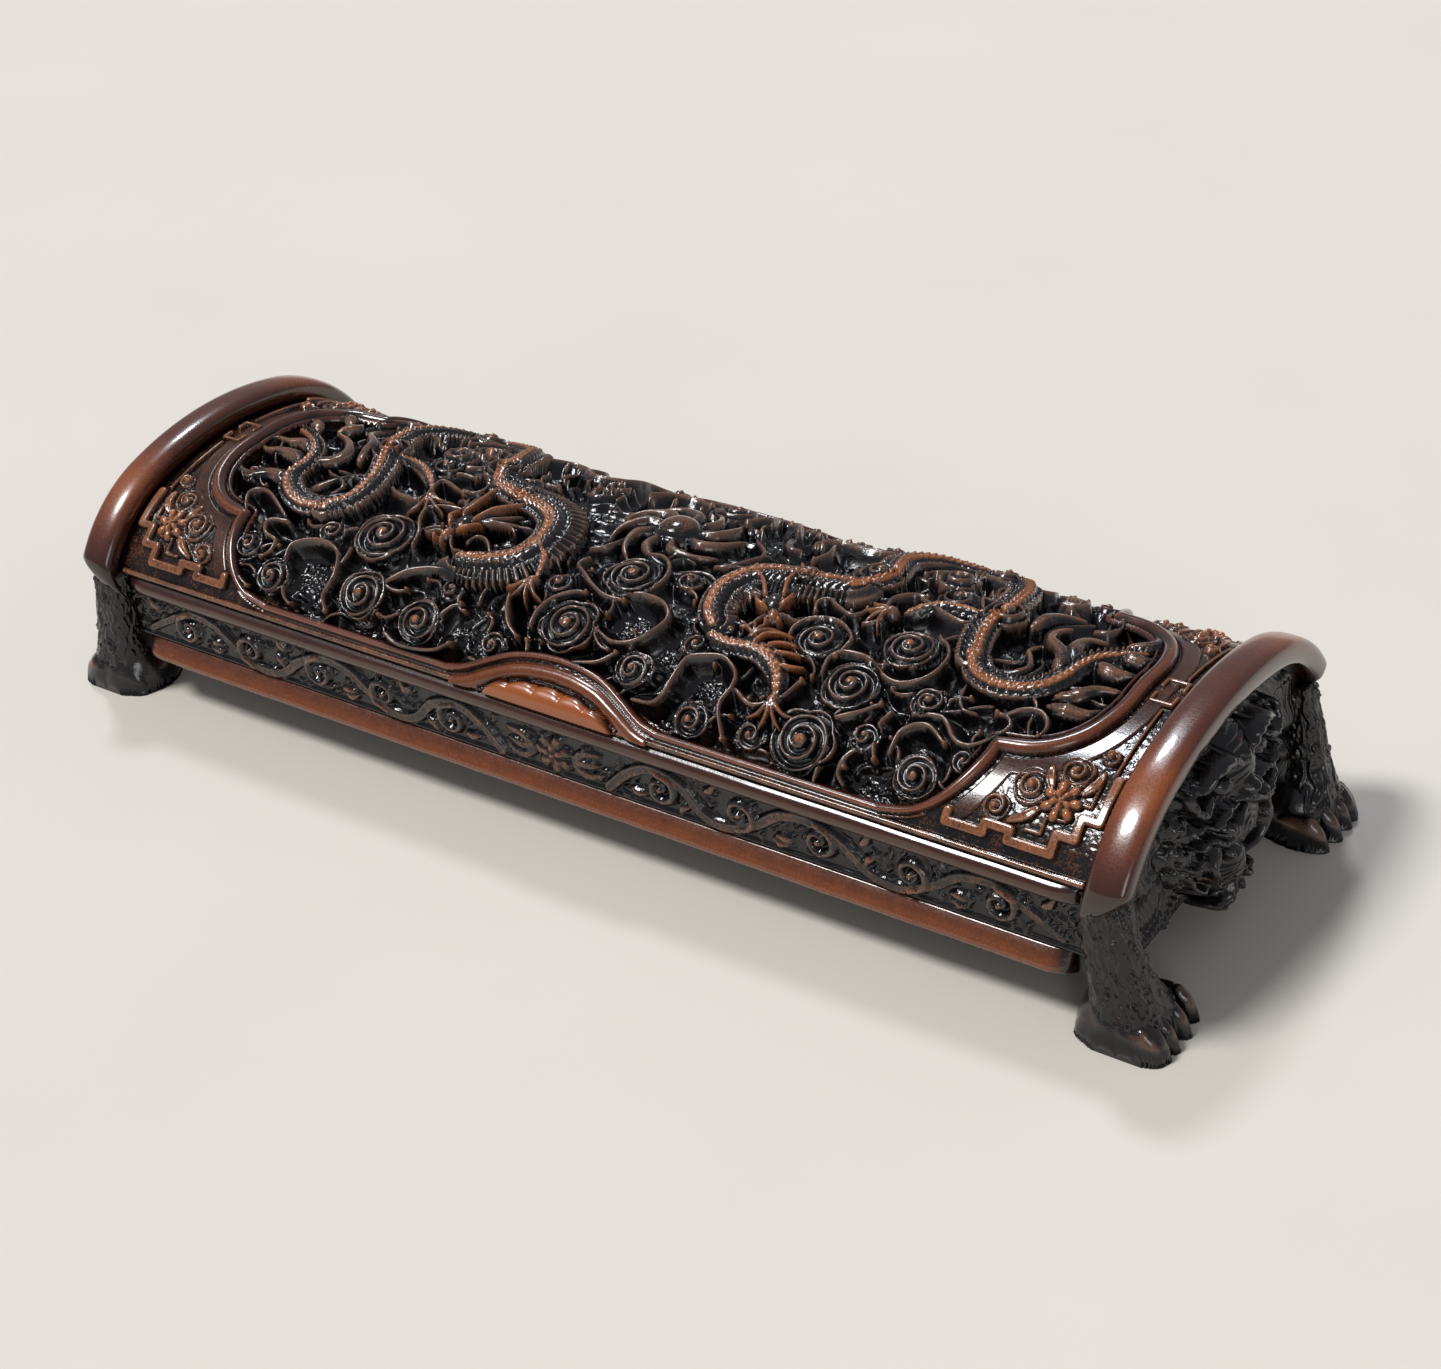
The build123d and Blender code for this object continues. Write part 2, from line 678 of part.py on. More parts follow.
def dome(y, z, reach, radius):
    """A faceted swelling that stands out from the end panel by its reach."""
    sides = face_sides if radius >= muzzle_radius else bump_sides
    loops = []
    for share in dome_shares:
        size, x = radius * sqrt(1 - share**2), panel_outer + reach * share / dome_shares[-1]
        turns = [2 * pi * (i + 0.5) / sides for i in range(sides)]
        loops.append([(x, y + size * cos(turn), z + size * sin(turn)) for turn in turns])
    return stacked(loops)


# Friezes and mouldings along the back, mirrored to the front


def side_half():
    """Half the length of the mouldings, before the legs are cut out of them."""
    return panel_outer - leg_setback / 2


def along_side(outline, z):
    """A moulding along the back wall from an outline of points and arcs, in y and z from z."""
    profile = Plane.YZ * Pos(wall_outer, z) * make_face(outline)
    return along_x(profile, -side_half(), side_half())


def rail():
    """The rounded rail under the lid's edge."""
    foot, top = (rail_root, 0), (rail_root, rail_height)
    nose = ThreePointArc(foot, (rail_projection, rail_height / 2), top)
    return along_side([nose, Polyline(top, (0, rail_height), (0, 0), foot)], seat_height - rail_height)


def base_moulding():
    """The smooth moulding along the bottom: a swelling foot under a hollow."""
    foot = (moulding_root, 0)
    waist = (moulding_waist, moulding_height * 0.6)
    top = (moulding_top, moulding_height)
    swell = ThreePointArc(foot, (moulding_projection, moulding_height * 0.3), waist)
    hollow = Line(waist, top)
    back = Polyline(top, (0, moulding_height), (0, 0), foot)
    return along_side([swell, hollow, back], foot_clearance)


def frieze():
    """The sunk band between the mouldings, with a running scroll either side of a flower."""
    half = side_half()
    base = foot_clearance + moulding_height
    plate = block(-half, half, wall_outer, wall_outer + frieze_thickness, base, base + frieze_height)
    swing = frieze_height / 2 - frieze_margin
    pitch = (half - frieze_start) / frieze_waves
    wave = [(frieze_start + pitch * i / 4, swing * sin(pi * i / 2)) for i in range(frieze_waves * 4)]
    stems = ribbon(wave, frieze_stem, 0.5)
    for i in range(frieze_waves * 2 - 1):
        hand = 1 if i % 2 == 0 else -1
        x = frieze_start + pitch * (i + 1.5) / 2
        stems += scroll(x, hand * swing / 4, frieze_scroll, hand, frieze_line, 90 * hand)
    relief = Sketch() + [stems, mirror(stems, Plane.YZ), rosette(frieze_flower)]
    carving = extrude(Plane.XZ * relief, relief_height, dir=(0, 1, 0))
    return plate + Pos(0, wall_outer + frieze_thickness, base + frieze_height / 2) * carving


def main():
    """Makes every piece and writes each to its own file."""
    pieces = {"lid_shell": lid_shell(), "cartouche_bead": cartouche_bead()}
    pieces.update(field_pieces())
    pieces.update(all_corners("corner_fret", corner_fret))
    pieces.update(all_corners("corner_flower", corner_flower))
    pieces.update(front_and_back("lid_lip", lid_lip()))
    pieces.update(front_and_back("ogee_panel", ogee_panel()))
    pieces.update(front_and_back("edge_moulding", edge_moulding()))
    pieces.update(left_and_right("end_bead", end_bead()))
    pieces.update(left_and_right("end_fret", end_fret()))
    pieces.update(left_and_right("end_panel", end_panel()))
    pieces["tray_floor"] = tray_floor()
    pieces.update(front_and_back("wall", side_wall()))
    bead = rim()
    pieces.update(left_and_right("end_rim", bead))
    legs = all_corners("leg", lambda: mirror(leg([core(), bead]), Plane.XZ))
    pieces.update(legs)
    pieces.update(left_and_right("beast_mask", mask()))
    for name, piece in (("rail", rail()), ("frieze", frieze()), ("base_moulding", base_moulding())):
        for blocker in (bead, mirror(bead, Plane.YZ), legs["leg_back_right"], legs["leg_back_left"]):
            piece -= blocker
        pieces.update(front_and_back(name, piece))
    os.makedirs("parts", exist_ok=True)
    for name, piece in pieces.items():
        export_step(piece, f"parts/{name}.step")


main()
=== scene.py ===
from math import cos, pi, radians, sin

import bpy
import numpy as np
from mathutils import Matrix, Vector


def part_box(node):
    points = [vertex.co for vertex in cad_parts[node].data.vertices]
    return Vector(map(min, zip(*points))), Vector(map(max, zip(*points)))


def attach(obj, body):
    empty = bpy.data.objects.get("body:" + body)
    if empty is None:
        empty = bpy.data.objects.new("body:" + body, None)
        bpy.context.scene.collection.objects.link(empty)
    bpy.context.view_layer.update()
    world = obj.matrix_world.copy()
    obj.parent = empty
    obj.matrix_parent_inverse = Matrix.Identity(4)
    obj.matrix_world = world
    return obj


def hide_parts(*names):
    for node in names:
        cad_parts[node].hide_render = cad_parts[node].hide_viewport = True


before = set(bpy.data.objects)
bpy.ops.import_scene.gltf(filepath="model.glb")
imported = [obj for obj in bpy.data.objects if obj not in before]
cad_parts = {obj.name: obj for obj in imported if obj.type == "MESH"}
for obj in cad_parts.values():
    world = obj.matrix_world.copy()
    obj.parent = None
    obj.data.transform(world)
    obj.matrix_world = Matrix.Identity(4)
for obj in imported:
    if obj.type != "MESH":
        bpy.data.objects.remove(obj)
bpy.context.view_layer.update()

# The camera stands where the photograph was taken from, in front of the box's right end and
# above it, and is turned a little on its own axis.
MM = 0.001
camera_place = Vector((293.19, -362.75, 316.67)) * MM
camera_azimuth = radians(37.6)
camera_elevation = radians(33.04)
camera_roll = radians(5.56)
camera_lens = 64.21  # for a 36 mm wide sensor
ahead = Vector((
    -sin(camera_azimuth) * cos(camera_elevation),
    cos(camera_azimuth) * cos(camera_elevation),
    -sin(camera_elevation),
))
level_right = ahead.cross(Vector((0, 0, 1))).normalized()
level_down = ahead.cross(level_right)
to_right = cos(camera_roll) * level_right + sin(camera_roll) * level_down
to_down = cos(camera_roll) * level_down - sin(camera_roll) * level_right
camera = bpy.data.objects.new("camera", bpy.data.cameras.new("camera"))
bpy.context.scene.collection.objects.link(camera)
camera.data.lens = camera_lens
camera.data.sensor_width = 36
camera.data.clip_start = 0.01
camera_turn = Matrix((to_right, -to_down, -ahead)).transposed().to_4x4()
camera.matrix_world = Matrix.Translation(camera_place) @ camera_turn
bpy.context.scene.camera = camera


# The lid is one casting in dark resin, a low arch of two radii between the end panels. Its carving
# is cut as heights over the arch, in millimetres: u runs along the box, and v runs over the arch
# from its crown, back positive.
def box_of(node):
    """A node's lowest and highest corners, in millimetres."""
    return [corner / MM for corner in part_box(node)]


lid_low, lid_high = box_of("lid_shell")
lid_half = lid_high.x
lid_edge = lid_low.z
crown_radius = 80.0
shoulder_radius = 31.0
crown_turn = radians(16)
shoulder_turn = radians(59.5)
shoulder_y = (crown_radius - shoulder_radius) * sin(crown_turn)
shoulder_z = lid_edge - shoulder_radius * cos(shoulder_turn)
crown_z = shoulder_z - (crown_radius - shoulder_radius) * cos(crown_turn)
crown_run = crown_radius * crown_turn
half_run = crown_run + shoulder_radius * (shoulder_turn - crown_turn)
nothing = -50.0  # a height that no carving reaches


class Wire:
    """A number or colour that runs between shader nodes."""

    tree = None

    def __init__(self, socket):
        self.socket = socket

    @classmethod
    def node(cls, kind, settings=None, output=0, **values):
        """Adds a node with its settings, and values or links for its sockets. A socket is called by
        its name, or by its number as in0, in1 and so on."""
        made = cls.tree.nodes.new("ShaderNode" + kind)
        for key, value in (settings or {}).items():
            setattr(made, key, value)
        for key, value in values.items():
            name = key.replace("_", " ") if not key.startswith("in") else int(key[2:])
            cls.feed(made.inputs[name], value)
        return cls(made.outputs[output])

    @classmethod
    def feed(cls, socket, value):
        if isinstance(value, Wire):
            cls.tree.links.new(value.socket, socket)
        else:
            socket.default_value = value

    def math(self, operation, *others):
        values = {f"in{i}": value for i, value in enumerate((self, *others))}
        return Wire.node("Math", {"operation": operation}, **values)

    def __add__(self, other):
        return self.math("ADD", other)

    def __sub__(self, other):
        return self.math("SUBTRACT", other)

    def __rsub__(self, other):
        return (self * -1) + other

    def __mul__(self, other):
        return self.math("MULTIPLY", other)

    __radd__ = __add__
    __rmul__ = __mul__

    def held(self, low, high):
        """This number from low to high stretched to 0 to 1, and held there outside."""
        return Wire.node("MapRange", {"clamp": True}, Value=self, From_Min=low, From_Max=high)

    def between(self, first, second):
        """first where this number is 0, second where it is 1, and a blend in between."""
        return Wire.node("Mix", {"data_type": "RGBA"}, output=2, in0=self, in6=first, in7=second)


def attribute(name):
    return Wire.node("Attribute", {"attribute_name": name}, output=2)


def cloudy(scale, detail=4.0, rough=0.55):
    """Uneven noise through the solid, with blotches about 1/scale metres across."""
    place = Wire.node("TexCoord", output=3)
    return Wire.node("TexNoise", Vector=place, Scale=scale, Detail=detail, Roughness=rough)


def colour(red, green, blue):
    """A colour given as it looks on a screen, from 0 to 255, as the light it stands for."""
    shares = [part / 255 for part in (red, green, blue)]
    light = [c / 12.92 if c < 0.04045 else ((c + 0.055) / 1.055) ** 2.4 for c in shares]
    return (*light, 1.0)


def resin(name, hollow, body, worn, amber, gloss=0.3, grain=0.00012, patchy=1.0):
    """Cast resin: 'wear' and 'rub' are painted on each mesh from its own carving."""
    material = bpy.data.materials.new(name)
    material.use_nodes = True
    Wire.tree = material.node_tree
    shader = material.node_tree.nodes["Principled BSDF"]
    wear, rub = attribute("wear"), attribute("rub")
    mottle = cloudy(260.0)
    speckle = cloudy(2200.0, 2.0)
    worn_share = (wear + ((mottle - 0.5) * 0.5 + (speckle - 0.5) * 0.4) * patchy).held(0.58, 1.12)
    body_share = (wear + (mottle - 0.5) * 0.3).held(0.15, 0.8)
    patches = ((speckle - 0.5) * 1.9 + (mottle - 0.5) * 1.2) * patchy
    rub_share = rub * 1.2 + patches * (rub + 0.2) + (wear - 0.6) * 0.4
    tone = worn_share.between(body_share.between(hollow, body), worn)
    tone = rub_share.held(0.25, 1.05).between(tone, amber)
    Wire.feed(shader.inputs["Base Color"], tone)
    dull = worn_share * 0.08 + rub_share.held(0.25, 1.05) * 0.06 + (speckle - 0.5) * 0.14 + gloss
    Wire.feed(shader.inputs["Roughness"], dull.math("MAXIMUM", 0.08))
    shader.inputs["IOR"].default_value = 1.53
    shader.inputs["Coat Roughness"].default_value = 0.08
    Wire.feed(shader.inputs["Coat Weight"], wear.held(0.15, 0.7) * 0.5)
    bump = Wire.node("Bump", Strength=0.6, Distance=grain, Height=speckle * 0.6 + mottle)
    Wire.feed(shader.inputs["Normal"], bump)
    return material


# The carved resin is nearly black in its hollows, and rubbed through to brown and amber where it
# stands out.
carved_resin = resin(
    "carved_resin", hollow=colour(6, 5, 7), body=colour(23, 17, 18), worn=colour(104, 74, 57),
    amber=colour(154, 88, 40), gloss=0.17,
)


def arch_place(run, rise):
    """y and z of places given by their run over the arch and their rise above it."""
    turn = run / crown_radius
    over = np.abs(run) - crown_run
    side_turn = crown_turn + over / shoulder_radius
    y = np.where(
        over > 0,
        np.sign(run) * (shoulder_y + (shoulder_radius + rise) * np.sin(side_turn)),
        (crown_radius + rise) * np.sin(turn),
    )
    z = np.where(
        over > 0,
        shoulder_z + (shoulder_radius + rise) * np.cos(side_turn),
        crown_z + (crown_radius + rise) * np.cos(turn),
    )
    return y, z


def on_arch(u, v, h):
    y, z = arch_place(v, h)
    return u, y, z


def ease(low, high, value):
    """0 below low, 1 above high and a soft step in between."""
    share = np.clip((value - low) / (high - low), 0, 1)
    return share * share * (3 - 2 * share)


def smooth_line(points, steps=9):
    """A smooth line that passes through every point."""
    p = np.array(points, float)
    p = np.vstack([2 * p[0] - p[1], p, 2 * p[-1] - p[-2]])
    line = []
    for a, b, c, d in zip(p, p[1:], p[2:], p[3:]):
        for t in np.arange(steps) / steps:
            line.append(0.5 * (2 * b + (c - a) * t + (2 * a - 5 * b + 4 * c - d) * t * t
                               + (3 * b - a - 3 * c + d) * t**3))
    return np.array(line + [p[-2]])


def blurred(field, cells):
    """The field averaged over a square of cells each way."""
    for axis in (0, 1):
        pad = [(cells + 1, cells) if a == axis else (0, 0) for a in (0, 1)]
        total = np.cumsum(np.pad(field, pad, mode="edge"), axis=axis)
        size = 2 * cells + 1
        high = np.take(total, np.arange(size, total.shape[axis]), axis=axis)
        low = np.take(total, np.arange(0, total.shape[axis] - size), axis=axis)
        field = (high - low) / size
    return field


class Ground:
    """A patch of surface to carve: places u and v on it, and tools that give heights over it."""

    def __init__(self, u_range, v_range, columns, rows):
        self.step = (u_range[1] - u_range[0]) / columns
        self.across = np.linspace(*u_range, columns + 1)
        self.along = np.linspace(*v_range, rows + 1)
        self.u, self.v = np.meshgrid(self.across, self.along)
        self.shape = self.u.shape
        self.rub = np.zeros(self.shape)

    def level(self, height=nothing):
        """One height all over, at first one that no carving reaches."""
        return np.full(self.shape, float(height))

    def window(self, u0, u1, v0, v1):
        """The rows and columns that lie between two values of v and two of u."""
        c0, c1 = np.searchsorted(self.across, (u0, u1))
        r0, r1 = np.searchsorted(self.along, (v0, v1))
        return slice(r0, r1), slice(c0, c1)

    def near_line(self, line, reach):
        """The window round a line, and there each place's distance from it, the length along it and
        the side of it; last, the line's whole length."""
        low, high = line.min(axis=0) - reach, line.max(axis=0) + reach
        w = self.window(low[0], high[0], low[1], high[1])
        u, v = self.u[w], self.v[w]
        gap, way, side = np.full(u.shape, 99.0), np.zeros(u.shape), np.zeros(u.shape)
        length = 0.0
        for a, b in zip(line, line[1:]):
            run = b - a
            size = np.hypot(*run)
            if size < 1e-6:
                continue
            low, high = np.minimum(a, b) - reach, np.maximum(a, b) + reach
            rows, columns = self.window(low[0], high[0], low[1], high[1])
            n = (slice(rows.start - w[0].start, rows.stop - w[0].start),
                 slice(columns.start - w[1].start, columns.stop - w[1].start))
            du, dv = u[n] - a[0], v[n] - a[1]
            t = np.clip((du * run[0] + dv * run[1]) / size**2, 0, 1)
            g = np.hypot(du - t * run[0], dv - t * run[1])
            best = g < gap[n]
            gap[n][best] = g[best]
            way[n][best] = (length + t * size)[best]
            side[n][best] = np.sign(run[0] * dv - run[1] * du)[best]
            length += size
        return w, gap, way, side, length

    def ridge(self, target, points, width, top, foot, ends=(0.5, 0.15), full=0.35, lip=0.0, rub=0.0,
              flare=0.0):
        """Raises a rounded band along a smooth line. It swells to its width at full along the line
        and narrows to a share of it at each end. A lip leaves its middle sunk between two edges,
        and a flare leaves hollow banks that far out on both sides."""
        line = smooth_line(points) if len(points) > 2 else np.array(points, float)
        w, gap, way, side, length = self.near_line(line, width * 1.3 + flare)
        share = way / max(length, 1e-6)
        rise, fall = share / full, (1 - share) / (1 - full)
        swell = np.where(share < full, ends[0] + (1 - ends[0]) * np.sqrt(np.clip(rise, 0, 1)),
                         ends[1] + (1 - ends[1]) * np.sqrt(np.clip(fall, 0, 1)))
        across = gap / np.maximum(width / 2 * swell, 0.05)
        body = np.sqrt(np.clip(1 - across**3, 0, 1))
        height = foot + (top - foot) * body * (0.55 + 0.45 * swell)
        if lip:
            height -= lip * np.exp(-((across / 0.55) ** 4)) * body
        height[across >= 1] = nothing
        if flare:
            bank = np.clip(1 - (gap - width / 2 * swell) / flare, 0, 1) ** 2.4
            slope = foot + (top - foot) * 0.8 * swell * bank
            height = np.maximum(height, np.where(bank > 0.01, slope, nothing))
        if rub:
            self.rub[w] = np.maximum(self.rub[w], rub * ease(1.0, 0.4, across))
        target[w] = np.maximum(target[w], height)
        return w, across, way, side

    def knob(self, target, u, v, size, top, foot, squash=1.0, turn=0.0, power=2.0, rub=0.0):
        """Raises a domed knob."""
        w = self.window(u - size * 1.6, u + size * 1.6, v - size * 1.6, v + size * 1.6)
        du, dv = self.u[w] - u, self.v[w] - v
        c, s = cos(radians(turn)), sin(radians(turn))
        along, across = du * c + dv * s, (dv * c - du * s) / squash
        share = np.hypot(along, across) / size
        height = foot + (top - foot) * np.sqrt(np.clip(1 - share**power, 0, 1))
        height[share >= 1] = nothing
        target[w] = np.maximum(target[w], height)
        if rub:
            self.rub[w] = np.maximum(self.rub[w], rub * ease(1.0, 0.3, share))

    def curl(self, target, u, v, radius, hand, top, foot, pitch=1.7, start=0.0, lobes=0, rub=0.0):
        """Raises a cloud scroll: a low cone cut by a spiral groove, with a knob at its heart."""
        reach = radius * 1.25
        w = self.window(u - reach, u + reach, v - reach, v + reach)
        du, dv = self.u[w] - u, self.v[w] - v
        far, angle = np.hypot(du, dv), np.arctan2(dv, du)
        edge = radius * (1 + 0.035 * np.sin(3 * angle + start * 5) + 0.02 * np.sin(5 * angle + u))
        if lobes:
            edge = edge * (1 + 0.1 * np.abs(np.sin(lobes * angle / 2 + start)) - 0.05)
        share = far / edge
        phase = far / pitch - hand * angle / (2 * pi) + start
        wave = (0.5 + 0.5 * np.cos(2 * pi * phase)) ** 1.7
        cut = min(1.7, 0.75 * pitch)
        cone = top - 1.5 * share**1.5 * min(1.0, radius / 5)
        height = cone - cut * (1 - wave) * ease(0.08, 0.3, share)
        outer = ease(0.8, 0.9, share) * ease(1.0, 0.97, share)
        height = np.maximum(height, (top - 0.9) * outer + foot * (1 - outer))
        height = foot + (height - foot) * np.sqrt(np.clip(1 - share**14, 0, 1))
        height[share >= 1] = nothing
        target[w] = np.maximum(target[w], height)
        if rub:
            self.rub[w] = np.maximum(self.rub[w], rub * (share < 1))
        self.knob(target, u, v, radius * 0.19, top + 0.25, foot, rub=0.6)

    def wear_of(self, height, low=-3.4, high=2.6):
        """How far each place is rubbed: it stands out from its surroundings, or stands high."""
        fine, wide = 1.0, 3.0
        solid = np.maximum(height, low)
        near = solid - blurred(solid, int(round(fine / self.step)))
        far = solid - blurred(solid, int(round(wide / self.step)))
        tall = (solid - low) / (high - low)
        return np.clip(0.18 + near * 0.55 + far * 0.2 + (tall - 0.5) * 0.55, 0, 1)


# A bead frames the carved field, rubbed smooth to a redder brown. It is thin along the lid's long
# edges, bold round its ends, and doubled: a fine bead lies outside it on the long edges and inside
# it at the ends.
smooth_resin = resin(
    "smooth_resin", hollow=colour(20, 9, 8), body=colour(50, 21, 12), worn=colour(84, 37, 20),
    amber=colour(148, 76, 28), gloss=0.2, grain=0.00004, patchy=0.35,
)
field_floor = -3.4
border_foot = -0.1  # where the border's carving rises from the plate
lid_columns, lid_rows = 1000, 376
lid = Ground((-lid_half, lid_half), (-half_run, half_run), lid_columns, lid_rows)
ear = smooth_line([(113, 0), (113, -8), (111, -15.2), (107.5, -20), (102.5, -23.2), (95.6, -24.6)])
corner = smooth_line([(95.6, -24.6), (95, -28.4), (93, -33.2), (89.4, -38.2), (84.6, -41.6),
                      (78, -43.1)])
ogee = smooth_line([(27, -43.1), (22.5, -42), (17, -39.2), (11.5, -36.7), (5.5, -35.4), (0, -35)])
quarter = np.vstack([ear, corner[1:], ogee])
half_line = np.vstack([quarter, (quarter * (-1, 1))[::-1][1:]])
frame_line = np.vstack([half_line, (half_line * (1, -1))[::-1]])


def inside(ground, line):
    """Whether each place lies inside a closed line."""
    held = np.zeros(ground.shape, bool)
    for a, b in zip(line, np.roll(line, -1, axis=0)):
        if a[1] == b[1]:
            continue
        rows = ground.window(0, 0, min(a[1], b[1]), max(a[1], b[1]))[0]
        cross = a[0] + (ground.v[rows] - a[1]) * (b[0] - a[0]) / (b[1] - a[1])
        held[rows] ^= ground.u[rows] < cross
    return held


in_field = inside(lid, frame_line)
frame_gap = lid.level(99)
around, gap, *_ = lid.near_line(np.vstack([frame_line, frame_line[:1]]), 7.0)
frame_gap[around] = gap
inward = np.where(in_field, frame_gap, -frame_gap)
toward_end = ease(84, 101, np.abs(lid.u))


def roll(offset, middle, width, top, foot):
    """A half-round bead of a width about the middle of an offset."""
    share = np.abs(offset - middle) / (width / 2)
    return np.where(share < 1, foot + (top - foot) * np.sqrt(np.clip(1 - share**2, 0, 1)), nothing)


main_bead = roll(inward, 0.0, 1.7 + 1.7 * toward_end, 1.5 + 0.4 * toward_end, border_foot)
at_ends = ease(0.1, 0.4, toward_end)
sunk_away = 30  # takes a bead out of sight under the plate
inner_bead = roll(inward, 2.5, 1.1, 0.9, field_floor) - sunk_away * (1 - at_ends)
outer_bead = roll(inward, -1.35, 0.7, 0.6, border_foot) - sunk_away * at_ends
at_ogee = np.abs(lid.u) < 25
broad_band = np.where(at_ogee, roll(inward, -3.1, 3.3, 1.4, border_foot), nothing)
flat_band = np.minimum(roll(inward, -4.0, 3.6, 1.2, border_foot), 0.35)
flat_band = np.where(toward_end > 0.5, flat_band, nothing)
bead = np.maximum.reduce([main_bead, inner_bead, outer_bead, broad_band, flat_band])


# Outside the bead, each corner of the lid holds a stepped key fret and a peony between volutes, and
# each end a fine bead and a key bracket. They are cut once, for the front right corner.
lid_quarter = Ground((0, lid_half), (-half_run, 0), lid_columns // 2, lid_rows // 2)


def bar(ground, points, width, top, foot):
    """A flat-topped bar along straight lines, with bevelled edges."""
    bevel = 0.3
    w, gap, *_ = ground.near_line(np.array(points, float), width)
    share = np.clip((width / 2 - gap) / bevel, 0, 1)
    height = ground.level()
    height[w] = np.where(share > 0, foot + (top - foot) * np.sqrt(share), nothing)
    ground.rub[w] = np.maximum(ground.rub[w], 0.45 * share)
    return height


fret_steps = [(92, -39.6), (92, -41.5), (99.8, -41.5), (99.8, -39.6), (105, -39.6), (105, -41.5),
              (113.8, -41.5), (113.8, -37.8), (117.4, -37.8), (117.4, -33.8), (120.8, -33.8),
              (120.8, -25)]
inner_steps = [(107.5, -38.6), (110.6, -38.6), (110.6, -35.2), (114.4, -35.2), (114.4, -31.4),
               (117.9, -31.4), (117.9, -26.5)]
frets = np.maximum(
    bar(lid_quarter, fret_steps, 2.1, 1.2, border_foot),
    bar(lid_quarter, inner_steps, 1.0, 0.7, border_foot),
)
end_beads = bar(lid_quarter, [(119.5, -23.5), (119.5, -5.6)], 0.8, 0.9, border_foot)
bracket = [(120.6, -1.4), (120.6, -3.8), (116.2, -3.8), (116.2, -1.4)]
end_frets = bar(lid_quarter, bracket, 1.1, 1.0, border_foot)


def peony(ground, target, u, v, foot, petals, squash, rub, heart):
    """Raises rings of petals, each given as reach, count, size, top and the first one's angle,
    round a heart given as size, top and rub."""
    for reach, count, size, top, first in petals:
        for petal in range(count):
            turn = 360 * petal / count + first
            petal_u, petal_v = u + reach * cos(radians(turn)), v + reach * sin(radians(turn))
            ground.knob(target, petal_u, petal_v, size, top, foot, squash, turn, rub=rub)
    size, top, heart_rub = heart
    ground.knob(target, u, v, size, top, foot, rub=heart_rub)


flowers = lid_quarter.level()
for u, v, radius, hand in ((112.4, -25.6, 3.6, 1), (105.8, -30.6, 4.0, -1), (100.6, -36.2, 2.8, 1),
                           (117.0, -20.4, 1.9, -1)):
    lid_quarter.curl(flowers, u, v, radius, hand, 1.7, border_foot, pitch=1.5, rub=0.35)
corner_petals = ((2.7, 7, 1.7, 1.5, 108), (1.4, 5, 1.2, 2.1, 56))
peony(lid_quarter, flowers, 112.4, -32.0, border_foot, corner_petals, 0.7, 0.9,
      heart=(0.8, 2.2, 1.0))
for leaf in ([(108.5, -34.5), (106.5, -36.6), (103.6, -38.2)],
             [(115.6, -29.4), (117.2, -27), (117.4, -24)],
             [(109.4, -30), (108.4, -28.2), (107.6, -25.6)]):
    lid_quarter.ridge(flowers, leaf, 2.3, 1.5, border_foot, lip=0.4, rub=0.5)


# Under each ogee lies a smooth panel like half a shell. Its top edge is five lobes on an arc, and
# its face is fluted between the lobes and rounded towards that edge. A plain moulding runs along
# the lid's long edge from the panel to each corner.
panel_half, panel_rise, panel_lobes, lobe_rise = 16.5, 5.2, 5, 0.8
along_panel = np.clip(lid_quarter.u / panel_half, 0, 1)
lobe = np.abs(np.cos(pi * panel_lobes / 2 * along_panel))
panel_edge = (panel_rise + lobe_rise * lobe) * np.sqrt(1 - along_panel**2.4) - 0.3
up_panel = lid_quarter.v + half_run
rounded = 1 - np.clip(1 - (panel_edge - up_panel) / 1.7, 0, 1) ** 2.5
swelling = 1.1 * np.sin(pi * np.clip(up_panel / panel_rise, 0, 1))
flutes = 0.45 * (1 - lobe) ** 3 * ease(0.2, 1.0, up_panel / panel_rise)
panels = np.where(up_panel < panel_edge, (1.4 + swelling - flutes) * rounded, nothing)
lid_quarter.rub = np.maximum(lid_quarter.rub, 0.95 * (panels > 0.5))
edge_strip = roll(lid_quarter.v, -half_run + 0.8, 1.5, 0.9, border_foot)
beside_panel, near_corner = lid_quarter.u < panel_half + 1.5, lid_quarter.u > lid_half - 0.8
edge_strip[beside_panel | near_corner] = nothing


def unfolded(quarter):
    """A height or paint over the whole lid from its front right quarter, mirrored both ways."""
    half = np.hstack([quarter[:, :0:-1], quarter])
    return np.vstack([half, half[-2::-1]])


lid.rub = unfolded(lid_quarter.rub)
frets, flowers, end_beads, end_frets, panels, edge_strip = (
    unfolded(part) for part in (frets, flowers, end_beads, end_frets, panels, edge_strip)
)
round_panel = np.abs(lid.u) < 19
bead_pitch = 1.3
dips = 0.5 * np.abs(np.sin(pi * lid.u / bead_pitch))
string_of_beads = roll(inward, -5.4, 1.0, 0.7, border_foot) - dips
bead = np.maximum(bead, np.where(round_panel, string_of_beads, nothing))
lid.rub[broad_band > 0] = 0.45
lid.rub[(string_of_beads > -1) & round_panel] = 0


